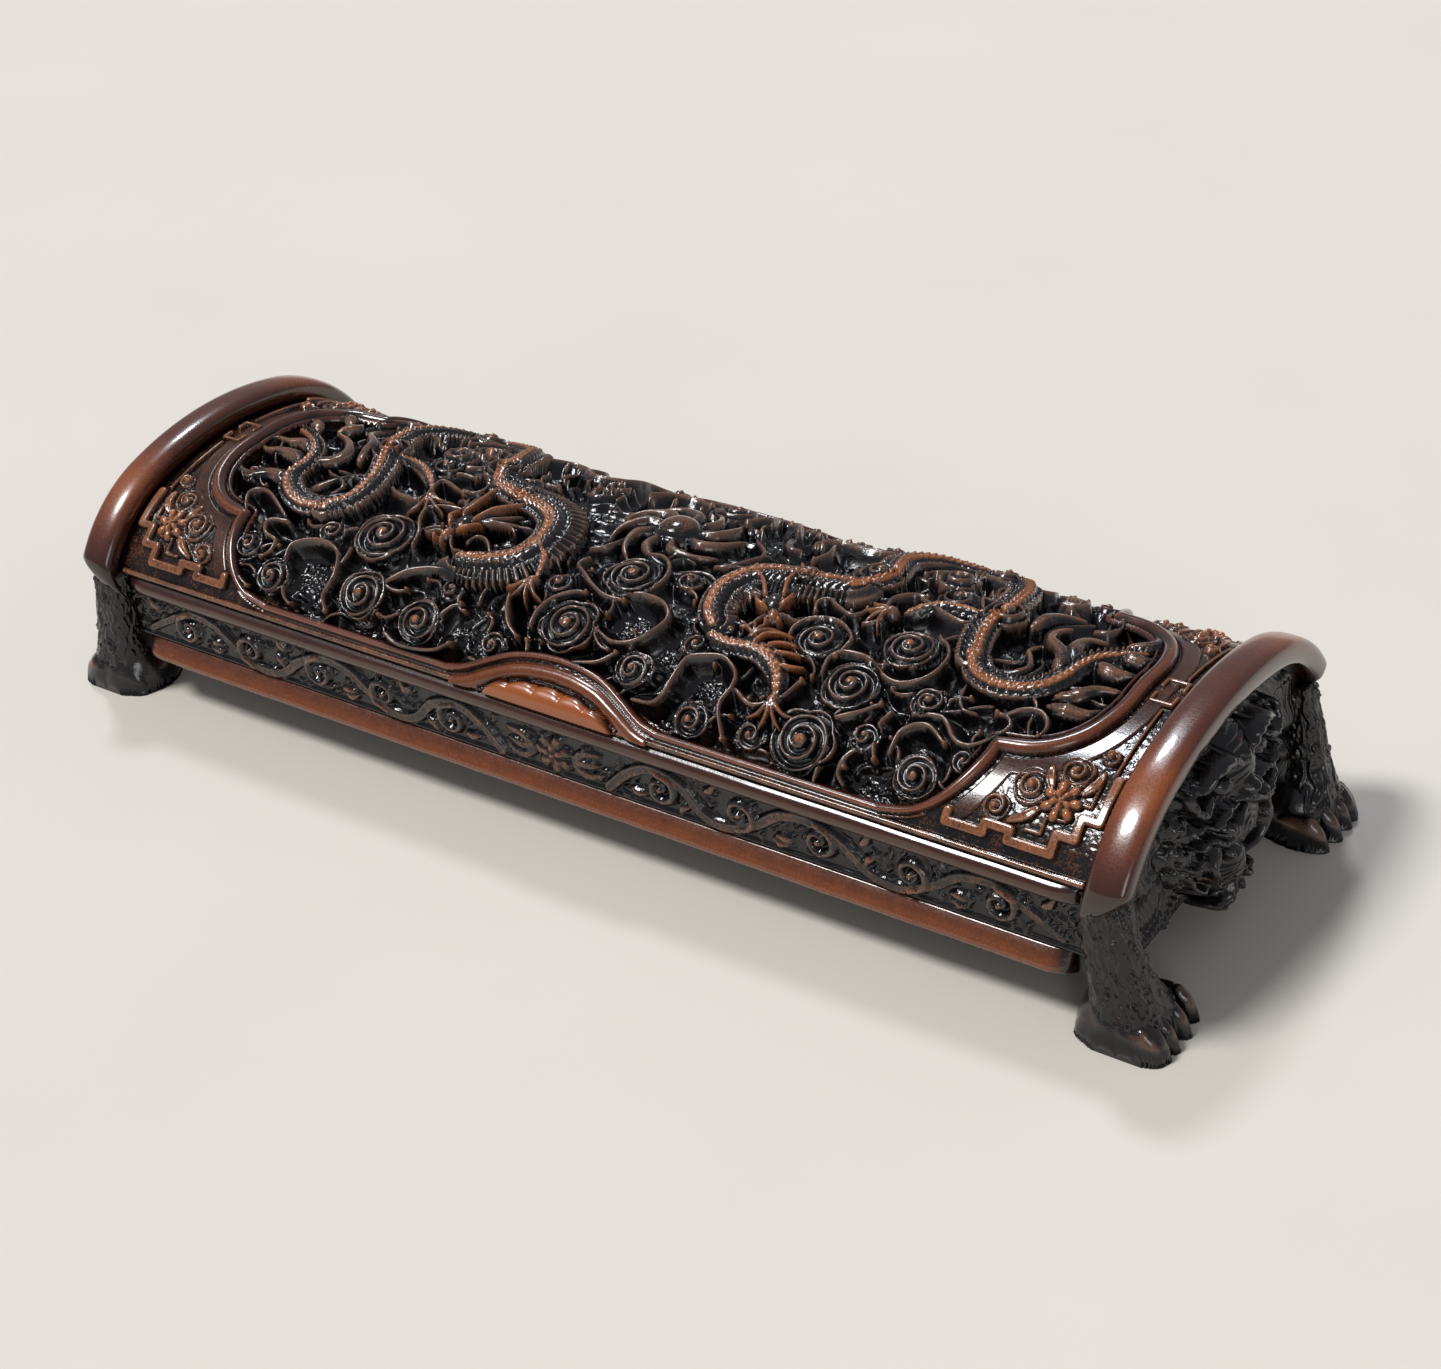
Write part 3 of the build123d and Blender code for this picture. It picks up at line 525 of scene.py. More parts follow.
# The field inside the bead is dense with cloud scrolls, ribbons and curling tongues round deep
# hollows, cast in one with the lid. Its far slope can't be seen in the photograph: it is a guess,
# the near slope turned half round.
clouds = lid.level()
CLOUDS = [
    (-59, -19, 7.4, 1), (-55, -34, 6.0, -1), (-38, -36, 5.4, 1), (-3.2, -27, 6.8, -1),
    (1.8, -10.2, 6.6, 1), (16, -32, 4.4, -1), (14, -7, 3.0, 1), (31, -17.4, 4.2, -1),
    (49, -12.9, 5.4, 1), (61.6, -21.4, 6.2, -1), (67, -8, 5.8, 1), (58, -35.5, 7.2, -1),
    (33, -38.4, 4.2, 1), (83, -35.5, 4.8, -1), (78, -20, 3.8, 1), (47, -37.5, 3.4, 1),
    (-90, -31, 4.0, 1), (-80, -36, 4.4, -1), (-72, -22, 3.2, 1), (26.2, -22.8, 3.0, 1),
    (-18, -36, 3.2, -1), (-64, 9, 5.0, 1), (66, 13, 4.6, -1), (-42, 11, 4.0, 1), (-12, -18, 3.4, 1),
    (-104, -12, 2.4, -1), (91, -30, 2.6, 1), (-34, -27, 2.6, -1), (8, -38.4, 2.6, 1),
    (70, -31, 3.0, -1),
]
COVERING_CLOUDS = [  # these lie over the dragons' coils
    (-51, 14, 5.6, 1), (-80, 9, 5.0, -1), (-38, 4, 3.4, -1), (-71, 33, 5.0, 1), (48, 12, 5.6, -1),
    (78, 10, 5.2, 1), (36, 3, 4.0, 1), (67, 31, 5.0, -1), (-64, 14, 4.4, -1), (62, 19, 4.6, 1),
]
RIBBONS = [
    [(2, -17), (8, -15), (14, -16), (17, -20), (14, -26), (9, -28), (4, -26.5)],
    [(-50, -30), (-46.5, -26.5), (-43, -24.8), (-39.5, -23.8), (-35.5, -23.8), (-31.5, -24),
     (-28.5, -22.5), (-27.2, -19)],
    [(-78, -32), (-78, -28), (-72, -25.5), (-66, -27), (-63.5, -32), (-64, -37), (-62, -40)],
    [(19, -38), (23.5, -37.5), (25.5, -35), (26, -31), (26.8, -26.8), (29.5, -25.2), (33.2, -24.2),
     (36.2, -25.2), (38.5, -27.2), (39, -30), (38.2, -34), (41.5, -40)],
    [(73, -25), (72, -30), (74, -35)], [(76.5, -33), (77, -28), (81, -25.5), (86, -28)],
    [(77, -24), (81.8, -23), (84.2, -23.8), (87.2, -26.5), (90.2, -27.2), (92.8, -25.8),
     (95.2, -22.8), (95.8, -20.2), (94.2, -18.5), (92, -18.2)],
    [(94, -18.2), (96, -16.2), (99.2, -15.2), (101.5, -16.5), (102.5, -18.8), (102, -21)],
    [(54.8, -21), (54.2, -17.2), (55.8, -14.8), (59.2, -14.3), (62.2, -14.8), (65.2, -16.8),
     (68.5, -18.2), (71.5, -18), (74.5, -15.6), (75.8, -12.2), (75.6, -8), (73.6, -4.8),
     (71.2, -3.5)],
    [(43, -14.2), (42.8, -11.8), (44, -9.2), (46.8, -7.6), (50.2, -7.2), (53.5, -8.8),
     (55.5, -11.2), (55, -16)],
    [(43.8, -6), (42.8, -3.2), (44.5, -1.5), (47.2, -2.8), (51, -4.2), (52.8, -2.5), (53, -0.8)],
    [(54.8, -5.5), (56.5, -4.8), (57.5, -2.8), (56.2, 0.8), (55.5, 5), (58, 8.5), (60.8, 9)],
    [(31.5, 20.8), (33.2, 15.8), (32.2, 11.5)],
    [(-43.8, 6.5), (-44, 9), (-42.5, 11.2), (-39.2, 12), (-35.2, 12.8)],
    [(-85.2, -22.2), (-89.2, -19.8), (-94.2, -17.2), (-97.5, -17.2), (-99, -19), (-97.2, -22.2),
     (-95.2, -24.2)],
    [(-83.5, -23.2), (-86.8, -23.8), (-88.2, -25), (-86.8, -27.5), (-83.2, -28.5), (-82.8, -31),
     (-84.5, -33)],
    [(-50.2, -19.8), (-51.2, -16.2), (-54, -12.2), (-54.8, -8.5), (-51.5, -6.2), (-47, -5.5)],
    [(-10, -9.2), (-10.8, -12), (-8.2, -13.8), (-4, -16.4), (0.2, -18), (5, -17.8)],
    [(1, -3), (4.8, -3), (8, -5.6), (9.2, -9.8), (7.8, -13.8)],
    [(-11, -30), (-11.2, -26.5), (-9.8, -22.6), (-7, -19.6), (-4.2, -18.6)],
    [(60, 8), (66, 5), (72, 3.5), (75, 5)], [(65, 14), (69, 15.5), (73, 10)],
    [(-52.5, 0.8), (-49.5, 0.5), (-48, 2), (-47.8, 6.5), (-48, 11.8), (-48.5, 17.8)],
    [(-63.5, 12.8), (-59.2, 10), (-56.2, 11.2), (-54.2, 14.2), (-52, 16.5)],
    [(-68, -5), (-65.2, -6.5), (-59.5, -7), (-58.5, -4.2), (-59.5, -0.2), (-58.8, 2.2),
     (-51.5, -0.2)], [(-22, -40), (-14, -40.5), (-9, -36.5), (-10, -33)],
    [(-20, -24.5), (-18.2, -28), (-16, -31), (-12.8, -33)],
    [(-4, -38), (2, -35), (8, -33), (11, -30)], [(40, -30), (45, -32), (50, -29), (52, -24)],
    [(-100, -28), (-95, -33), (-90, -37.5), (-85, -40)],
    [(-45, -40.5), (-40, -42), (-32, -41), (-28, -38.5)], [(62, -30), (67, -27), (70, -24)],
]


def tail(target, u, v, radius, hand, leaves, top):
    """The tail of a cloud: it runs on from the rim, swings out the other way and ends in a knob."""
    heading, length = leaves + hand * pi / 2, 1.5 * radius + 5
    u, v = u + 0.93 * radius * cos(leaves), v + 0.93 * radius * sin(leaves)
    points = [(u, v)]
    for step in range(7):
        heading += hand * (1.3 - 0.42 * step) * length / 7 / max(radius, 3.0)
        u, v = u + length / 7 * cos(heading), v + length / 7 * sin(heading)
        points.append((u, v))
    lid.ridge(target, points, 1.3, top, field_floor, ends=(1.0, 0.55), full=0.2, rub=0.1, flare=2.6)
    lid.knob(target, u, v, 0.85, top + 0.1, field_floor, rub=0.3)


for u, v, radius, hand in CLOUDS:
    top, leaves = 1.0 + 0.14 * radius, 0.9 * u + 1.7 * v
    for k in range(2):
        tail(clouds, u, v, radius, hand, leaves + 2.6 * k, top - 0.7)
for points in RIBBONS:
    lid.ridge(clouds, points, 1.5, 1.6, field_floor, ends=(0.8, 0.7), rub=0.1, flare=3.2)
    lid.knob(clouds, *points[-1], 1.0, 1.6, field_floor, rub=0.3)


def curls_between(target, count, seed, widths, tops, step):
    """Fills bare places with thin curling tongues."""
    draw = np.random.default_rng(seed)
    for _ in range(count):
        row, column = draw.integers(0, lid.shape[0]), draw.integers(0, lid.shape[1])
        heading, bend = draw.uniform(0, 2 * pi), draw.choice((-1, 1)) * draw.uniform(0.3, 0.9)
        width, top = draw.uniform(*widths), draw.uniform(*tops)
        if target[row, column] > field_floor + 0.4 or not in_field[row, column]:
            continue
        u, v = lid.u[row, column], lid.v[row, column]
        points = [(u, v)]
        for k in range(5):
            u, v = u + step * cos(heading), v + step * sin(heading)
            heading += bend * (1.3 - 0.55 * k)
            points.append((u, v))
        lid.ridge(target, points, width, top, field_floor, ends=(0.6, 0.5), flare=2.0)


curls_between(clouds, 150, 5, (1.1, 1.4), (-0.4, 0.9), 2.6)
curls_between(clouds, 300, 6, (0.9, 1.2), (-2.2, -1.0), 1.6)
cloud_heads = lid.level()
for u, v, radius, hand in CLOUDS:
    lobes = 5 if radius > 6 else 0
    lid.curl(cloud_heads, u, v, radius, hand, 1.0 + 0.14 * radius, field_floor, 1.5 + 0.1 * radius,
             start=u * 0.37 + v * 0.11, lobes=lobes)
clouds = np.where(cloud_heads > field_floor, cloud_heads, clouds)
unseen = lid.v > 21  # beyond the crown
clouds = np.where(unseen, clouds[::-1, ::-1], clouds)
lid.rub = np.where(unseen & in_field, lid.rub[::-1, ::-1], lid.rub)


# Two dragons face each other across the field. Each is a scaled coil with a comb of spines down one
# side, legs with claws, a horned head and tongues of flame that fan out towards the box's end.
scale_length, spine_pitch = 1.7, 1.15


def serpent(target, points, width, top, comb=0, ends=(0.45, 0.35), full=0.6, teeth=0.35):
    """Raises a scaled coil. Comb is the side, 1 or -1, that its spines are on, and teeth is how far
    they reach, as a share of half the coil's width."""
    w, across, way, side = lid.ridge(target, points, width, top, field_floor, ends, full, flare=1.6)
    body = target[w]
    lane = across * side * 2.5
    bulge = np.abs(np.cos(pi * lane))
    cell = (way / scale_length + 0.5 * np.floor(lane + 0.5) + 0.4 * bulge) % 1
    on = across < 0.9
    body[on] += (0.65 * (1 - cell) * (0.3 + 0.7 * bulge) - 0.4)[on]
    if comb:
        tooth = np.abs(np.cos(pi * way / spine_pitch)) ** 1.5
        strip = (side == comb) & (across > 0.98) & (across < 1 + teeth * (0.6 + 0.4 * tooth))
        height = top - 0.6 - 1.6 * (across - 0.9) - 1.1 * (1 - tooth)
        body[strip] = np.maximum(body, height)[strip]
    back = ease(0.5, 0.2, np.abs(across * side + 0.2 * comb))
    lid.rub[w] = np.maximum(lid.rub[w], 0.66 * back * (across < 1))


def claw(target, u, v, heading, size, top):
    """A foot of four curved toes that spread from u and v."""
    lid.knob(target, u, v, size * 0.42, top, field_floor, rub=0.3)
    for spread, bend in ((-42, -14), (-14, -8), (14, 8), (42, 14)):
        a, b = radians(heading + spread), radians(heading + spread + bend * 2.4)
        mid = (u + size * 0.62 * cos(a), v + size * 0.62 * sin(a))
        tip = (mid[0] + size * 0.55 * cos(b), mid[1] + size * 0.55 * sin(b))
        lid.ridge(target, [(u, v), mid, tip], size * 0.25, top, field_floor, (0.9, 0.1), 0.3,
                  rub=0.35)


def head(target, u, v, heading, size, top):
    """A dragon's head seen from above: snout, brows, eyes, horns, whiskers and a swept mane."""
    c, s = cos(radians(heading)), sin(radians(heading))

    def at(along, across):
        return (u + size * (along * c - across * s), v + size * (along * s + across * c))

    for side in (-1, 1):
        for k, (out, back) in enumerate(((0.45, -1.9), (0.8, -1.7), (1.1, -1.25), (1.3, -0.8))):
            lid.ridge(target,
                      [at(-0.3, side * 0.35), at(-0.9, side * out), at(back, side * (out + 0.35))],
                      size * 0.3, top - 0.9 - 0.15 * k, field_floor, (0.9, 0.05), 0.3)
        lid.ridge(target, [at(-0.2, side * 0.3), at(-1.0, side * 0.42), at(-1.9, side * 0.8),
                           at(-2.5, side * 0.7)],
                  size * 0.28, top + 0.1, field_floor, (0.9, 0.2), 0.3, rub=0.5)
        lid.ridge(target, [at(0.75, side * 0.25), at(1.1, side * 0.75), at(0.8, side * 1.15)],
                  size * 0.16, top - 0.8, field_floor, (0.9, 0.1), 0.3)
    lid.knob(target, *at(0, 0), size * 0.7, top - 0.4, field_floor, 0.8, heading, rub=0.1)
    lid.knob(target, *at(0.75, 0), size * 0.5, top - 0.4, field_floor, 0.7, heading, rub=0.45)
    for side in (-1, 1):
        lid.knob(target, *at(1.12, side * 0.2), size * 0.17, top, field_floor, rub=0.5)
        lid.ridge(target, [at(0.45, side * 0.22), at(0.2, side * 0.5), at(-0.25, side * 0.62)],
                  size * 0.24, top + 0.3, field_floor, (0.7, 0.5), 0.4, rub=0.7)
        lid.knob(target, *at(0.28, side * 0.3), size * 0.15, top + 0.55, field_floor)


def flames(target, tongues, width, top):
    """Tongues of flame, each with a fine groove down its middle."""
    for points in tongues:
        lid.ridge(target, points, width, top, field_floor, (0.6, 0.08), 0.3, lip=0.4, rub=0.25,
                  flare=0.7)


left_dragon = lid.level()
flames(left_dragon, [
    [(-94, -3), (-89.2, -1), (-88.5, 2.2), (-91, 6.5), (-95.8, 10.2), (-99.5, 11.8)],
    [(-95, -6), (-98.5, -3.2), (-101.8, -2.5), (-104.8, -2.5), (-107.8, -3), (-111, -1.6)],
    [(-92, -13.6), (-96.8, -11), (-100.2, -11), (-103.2, -12.5), (-107, -12.2), (-110.5, -10)],
    [(-96, -0.5), (-101, 2.5), (-106, 1.8), (-111, 3.6)], [(-104, 10), (-108, 13.5), (-111.5, 13)],
    [(-99, 12), (-97, 16), (-99, 20)], [(-84, 2), (-87, 10), (-92, 15), (-92, 20)],
    [(-100, 17), (-104, 21), (-110, 22)],
], 3.3, 1.9)
flames(left_dragon, [
    [(-87.5, -14.8), (-86, -10.5), (-84.2, -6.5), (-81.8, -2.5), (-80, -0.5)],
    [(-82, -14.5), (-78.8, -10.4), (-76, -9)],
], 2.0, 0.6)
serpent(left_dragon, [(-108.2, 8.6), (-104.8, 7), (-99.8, 4), (-96, 0.2), (-94.2, -4.8),
                      (-94.2, -9.8), (-90.6, -14.3), (-84.5, -17), (-78, -16.4)],
        5.6, 2.1, 1, ends=(0.2, 0.9), full=0.8)
serpent(left_dragon, [(-78, -16.4), (-74, -12.5), (-73.4, -7), (-75.3, -0.5), (-79, 6), (-82, 13),
                      (-83, 22), (-77, 31), (-67, 35)],
        6.2, 2.5, -1, ends=(0.85, 0.9), full=0.5)
serpent(left_dragon, [(-67, 35), (-57, 31), (-52, 22), (-50, 12), (-46, 6)],
        6.6, 2.8, 1, ends=(0.9, 0.95), full=0.5)
serpent(left_dragon, [(-46, 6), (-38.8, 3.8), (-31.5, 2.2), (-26, -0.8), (-23.2, -5.5),
                      (-22.8, -10.5), (-25, -15.5), (-30, -18.6), (-36, -20)],
        7.4, 3.0, 1, ends=(0.9, 0.8), full=0.5, teeth=1.0)
serpent(left_dragon, [(-79, 8), (-70, 6), (-63, 2), (-58, -3)], 3.4, 2.0)
claw(left_dragon, -57, -5, -50, 6.0, 2.2)
serpent(left_dragon, [(-25, -9), (-19, -13), (-17, -19)], 3.2, 2.2)
claw(left_dragon, -17, -20, -95, 5.6, 2.3)
head(left_dragon, -43, -10, 255, 6.4, 3.0)

right_dragon = lid.level()
flames(right_dragon, [
    [(97.5, -4), (95.8, -1.2), (95.2, 1.8), (92.8, 4.5), (90, 6.8), (89, 10), (90.5, 15)],
    [(97.5, 2), (95.4, 6), (96, 10), (99.5, 12.5)],
    [(100, -9.5), (103, -8.4), (105.2, -5.5), (107.8, -4), (111, -3)],
    [(100, -12.8), (103.4, -12.6), (107.5, -11.8), (110, -9)], [(102, 3), (106, 1.4), (111.5, 3)],
    [(104, 9), (108.5, 8), (111.5, 11)], [(104, 12), (108, 15), (106, 20), (101, 22)],
    [(84, 10), (86, 16), (91, 20)],
], 3.3, 1.9)
flames(right_dragon, [
    [(84.4, -7.5), (86.8, -7), (89.2, -6.2), (90.6, -3.4), (89, 0), (87.5, 2.4), (88.4, 6)],
], 2.0, 0.9)
serpent(right_dragon, [(108, 12), (103.5, 7.7), (100.8, 4.8), (99.3, 0.8), (98.6, -3.5),
                       (96.8, -7.5), (93.2, -10.4), (88, -11.4), (83.2, -9.8), (80, -6)],
        5.6, 2.2, -1, ends=(0.2, 0.9), full=0.8)
serpent(right_dragon, [(80, -6), (77.8, 0), (76.8, 6), (77, 14), (75, 24), (69, 32), (60, 35)],
        6.4, 2.6, 1, ends=(0.85, 0.9), full=0.5)
serpent(right_dragon, [(60, 35), (52, 31), (48, 22), (50, 12), (46, 5)],
        6.8, 2.8, -1, ends=(0.9, 0.9), full=0.5)
serpent(right_dragon, [(46, 5), (41, 3.6), (34.5, 2.6), (28.2, 0.8), (24.4, -3), (22.9, -8),
                       (24.2, -13.8), (27, -17)],
        7.2, 3.0, 1, ends=(0.9, 0.7), full=0.5, teeth=0.9)
for hair in ([(38, -20), (39, -16.5), (41.5, -14.8), (44.5, -14.4)],
             [(40, -20.4), (43, -17.4), (46.5, -16.2)], [(42, -21), (45.5, -19.4), (48.5, -18.2)],
             [(45, -23), (48.6, -22.2), (51, -20.8)]):
    lid.ridge(right_dragon, hair, 1.5, 2.2, field_floor, (0.9, 0.15), 0.3, rub=0.7)
serpent(right_dragon, [(28, -20), (33, -21), (38, -20.6), (42.5, -21.4), (46.6, -24.4), (49, -29)],
        5.0, 2.6, ends=(0.7, 0.5))
claw(right_dragon, 49, -30, -75, 6.0, 2.3)
claw(right_dragon, 37, -18, 100, 5.4, 2.4)
serpent(right_dragon, [(77, 8), (70, 8), (64, 6), (60, 2)], 3.4, 2.1)
claw(right_dragon, 58, 0, 215, 5.6, 2.3)
head(right_dragon, 35, -7, 300, 6.2, 3.0)


# A flaming pearl stands between the dragons, cast with them in one piece with the field. It is a
# smooth ball ringed by tongues of fire.
pearl = lid.level()
pearl_u, pearl_v, pearl_radius = 0.0, 9.0, 6.4
flame_count = 9
for k in range(flame_count):
    turn = radians(360 * k / flame_count + 10)
    bend = turn + 0.5
    points = [(pearl_u + r * cos(a), pearl_v + r * sin(a))
              for r, a in ((5.5, turn), (9.0, turn + 0.12), (12.5, bend), (15.0, bend + 0.35))]
    lid.ridge(pearl, points, 2.4, 1.8, field_floor, (0.9, 0.08), 0.25, lip=0.4, rub=0.15, flare=1.5)
lid.knob(pearl, pearl_u, pearl_v, pearl_radius, 3.3, field_floor, power=2.2, rub=0.3)
from_pearl = np.hypot(lid.u - pearl_u, lid.v - pearl_v)
pearl -= 0.5 * np.exp(-(((from_pearl - pearl_radius * 0.72) / 0.4) ** 2))


# Where pieces of the field cross, each keeps only what the pieces above it leave to be seen. They
# are made after all the carving is cut, because a place's wear depends on what stands round it.
clear_of_bead = 1.2
for piece in (clouds, left_dragon, right_dragon, pearl):
    piece[inward < clear_of_bead - 0.7 * (1 - toward_end)] = nothing
covering = lid.level()
for u, v, radius, hand in COVERING_CLOUDS:
    lid.curl(covering, u, v, radius, hand, 3.2, field_floor, 1.5 + 0.1 * radius, start=0.3 * u,
             lobes=5)
covering[inward < clear_of_bead] = nothing
for piece in (left_dragon, right_dragon):
    piece[covering > piece - 0.6] = nothing
clouds = np.maximum(clouds, covering)
over_clouds = np.maximum.reduce([left_dragon, right_dragon, pearl])
clouds[over_clouds > clouds + 0.3] = nothing
left_dragon[pearl > left_dragon] = nothing
right_dragon[pearl > right_dragon] = nothing


# The plate under it all is 6 mm thick. The field's floor is stippled, and stays clear of the lid's
# long edge.
lid_thickness = 6.0
edge_floor = 1.0
slope = crown_turn + np.maximum(np.abs(lid.v) - crown_run, 0) / shoulder_radius
least = (lid_edge + edge_floor - shoulder_z) / np.cos(slope) - shoulder_radius


def grain_over(shape, seed, coarse):
    """Soft random lumps from -1 to 1, coarse cells across."""
    draw = np.random.default_rng(seed)
    rows, cols = (max(2, int(n / coarse)) + 2 for n in shape)
    seeds = draw.uniform(-1, 1, (rows, cols))
    r = np.linspace(0, rows - 1.001, shape[0])
    c = np.linspace(0, cols - 1.001, shape[1])
    r0, c0 = r.astype(int), c.astype(int)
    fr, fc = ease(0, 1, r - r0)[:, None], ease(0, 1, c - c0)[None, :]
    top = seeds[r0][:, c0] * (1 - fc) + seeds[r0][:, c0 + 1] * fc
    low = seeds[r0 + 1][:, c0] * (1 - fc) + seeds[r0 + 1][:, c0 + 1] * fc
    return top * (1 - fr) + low * fr


stipple = grain_over(lid.shape, 3, 2.2) * 0.25 + grain_over(lid.shape, 4, 5) * 0.35
border = -0.06 + 0.05 * grain_over(lid.shape, 6, 2.5)
floor = np.maximum(field_floor - 0.1 + stipple * ease(0.3, 1.2, frame_gap), least)
plate = np.where(in_field, floor, border)
everything = np.maximum.reduce([
    plate, bead, clouds, over_clouds, frets, flowers, end_beads, end_frets, panels, edge_strip,
])
lid_wear = lid.wear_of(everything) + 0.2 * ~in_field
lid.rub = np.maximum(lid.rub, 0.32 * ~in_field)


def make_mesh(name, corners, faces, material, body, nodes, paint):
    """A piece from corners, in millimetres in the box's frame, and groups of faces. All faces in a
    group have the same number of corners. Paint gives each corner its wear and its rub."""
    mesh = bpy.data.meshes.new(name)
    corners = np.asarray(corners, np.float32) * MM
    flat, starts, totals, at = [], [], [], 0
    for group in faces:
        group = np.asarray(group, np.int32)
        count, size = group.shape
        flat.append(group.ravel())
        starts.append(at + np.arange(count) * size)
        totals.append(np.full(count, size))
        at += count * size
    lists = (flat, starts, totals)
    flat, starts, totals = (np.concatenate(part).astype(np.int32) for part in lists)
    mesh.vertices.add(len(corners))
    mesh.vertices.foreach_set("co", corners.ravel())
    mesh.loops.add(len(flat))
    mesh.loops.foreach_set("vertex_index", flat)
    mesh.polygons.add(len(starts))
    mesh.polygons.foreach_set("loop_start", starts)
    mesh.polygons.foreach_set("loop_total", totals)
    mesh.update(calc_edges=True)
    mesh.validate()
    mesh.polygons.foreach_set("use_smooth", np.ones(len(mesh.polygons), bool))
    for key, values in paint.items():
        layer = mesh.attributes.new(key, "FLOAT", "POINT")
        layer.data.foreach_set("value", np.asarray(values, np.float32).ravel())
    mesh.materials.append(material)
    piece = bpy.data.objects.new(name, mesh)
    bpy.context.scene.collection.objects.link(piece)
    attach(piece, body)
    if nodes:
        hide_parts(*nodes)


def plate_piece(name, height, thickness, material, body, nodes, wear):
    """The lid's plate: its carved top, a smooth underside and four plain sides."""
    rows, columns = lid.shape
    top = np.stack(on_arch(lid.u.ravel(), lid.v.ravel(), height.ravel()), 1)
    y, z = arch_place(lid.along, -thickness)
    z = np.maximum(z, lid_edge)
    under = [np.stack([np.full(rows, x), y, z], 1) for x in (-lid_half, lid_half)]
    corners = np.vstack([top] + under)
    number = np.arange(rows * columns).reshape(rows, columns)
    left, right = rows * columns + np.arange(rows), rows * columns + rows + np.arange(rows)
    skin = np.stack([number[:-1, :-1], number[:-1, 1:], number[1:, 1:], number[1:, :-1]], 2)
    skin = skin.reshape(-1, 4)
    strips = np.stack([left[:-1], left[1:], right[1:], right[:-1]], 1)
    ends = [
        np.stack([left[1:], left[:-1], number[:-1, 0], number[1:, 0]], 1),
        np.stack([right[:-1], right[1:], number[1:, -1], number[:-1, -1]], 1),
    ]
    front = np.concatenate([[left[0], right[0]], number[0, ::-1]])[None]
    back = np.concatenate([[right[-1], left[-1]], number[-1]])[None]
    plain = np.zeros(2 * rows)
    paint = {"wear": np.concatenate([wear.ravel(), plain + 0.2]),
             "rub": np.concatenate([lid.rub.ravel(), plain])}
    faces = [skin, strips, *ends, front, back]
    make_mesh(name, corners, faces, material, body, nodes, paint)


plate_piece(
    "carved_lid_shell", plate, lid_thickness, carved_resin, "lid", ["lid_shell"],
    lid_wear,
)
border_root = -0.15  # the border's carving goes on this far into the plate


def relief_piece(name, ground, height, foot, place, material, body, nodes, wear):
    """A closed piece from the part of a carving that stands above its foot."""
    stands = height > foot + 0.02
    cells = stands[:-1, :-1] | stands[1:, :-1] | stands[:-1, 1:] | stands[1:, 1:]
    used = np.zeros(ground.shape, bool)
    for dr in (0, 1):
        for dc in (0, 1):
            used[dr:used.shape[0] - 1 + dr, dc:used.shape[1] - 1 + dc] |= cells
    number = np.full(ground.shape, -1)
    count = int(used.sum())
    number[used] = np.arange(count)
    top = place(ground.u[used], ground.v[used], np.maximum(height, foot)[used])
    bottom = place(ground.u[used], ground.v[used], np.full(count, foot - 0.3))
    corners = np.vstack([np.stack(top, 1), np.stack(bottom, 1)])
    r, c = np.nonzero(cells)
    quads = np.stack([number[r, c], number[r, c + 1], number[r + 1, c + 1], number[r + 1, c]], 1)
    empty = ~np.pad(cells, 1)
    walls = []
    for dr, dc, first, second in ((-1, 0, (0, 0), (0, 1)), (0, 1, (0, 1), (1, 1)),
                                  (1, 0, (1, 1), (1, 0)), (0, -1, (1, 0), (0, 0))):
        open_side = empty[r + 1 + dr, c + 1 + dc]
        a = number[r[open_side] + first[0], c[open_side] + first[1]]
        b = number[r[open_side] + second[0], c[open_side] + second[1]]
        walls.append(np.stack([a, a + count, b + count, b], 1))
    paint = {"wear": np.tile(wear[used], 2), "rub": np.tile(ground.rub[used], 2)}
    faces = [quads, quads[:, ::-1] + count, np.vstack(walls)]
    make_mesh(name, corners, faces, material, body, nodes, paint)


def lid_piece(node, height, foot=border_root, material=carved_resin):
    name = f"carved_{node}"
    relief_piece(name, lid, height, foot, on_arch, material, "lid", [node], lid_wear)


lid_piece("cartouche_bead", bead, material=smooth_resin)
lid_piece("cloud_scrolls", clouds, field_floor)
lid_piece("left_dragon", left_dragon, field_floor)
lid_piece("right_dragon", right_dragon, field_floor)
lid_piece("flaming_pearl", pearl, field_floor)
halves_u = {"left": lid.u < 0, "right": lid.u > 0}
halves_v = {"front": lid.v < 0, "back": lid.v > 0}
for depth, near in halves_v.items():
    for side, there in halves_u.items():
        lid_piece(f"corner_fret_{depth}_{side}", np.where(near & there, frets, nothing))
        lid_piece(f"corner_flower_{depth}_{side}", np.where(near & there, flowers, nothing))
    panel = np.where(near, panels, nothing)
    lid_piece(f"{depth}_ogee_panel", panel, material=smooth_resin)
    lid_piece(f"{depth}_edge_moulding", np.where(near, edge_strip, nothing))
for side, there in halves_u.items():
    lid_piece(f"{side}_end_bead", np.where(there, end_beads, nothing))
    lid_piece(f"{side}_end_fret", np.where(there, end_frets, nothing))


# Each end of the box has a bold smooth rim that arches over it, rubbed to amber at its bends. Past
# the lid's edge it narrows, leans in and runs down over the leg to a point.
panel_low, panel_high = box_of("right_end_panel")
panel_inner, panel_outer = panel_low.x, panel_high.x
rim_low, rim_high = box_of("right_end_rim")
rim_width = rim_high.x - rim_low.x
rim_rise = 5.1  # over the arch
rim_root = 0.7  # below it
tail_top, tail_tip = 31.0, 21.5  # heights over the ground
tail_lean = 6.5
roundness = 0.6  # 1 is a round section, and less a squarer one
ENDS = (("right", 1), ("left", -1))


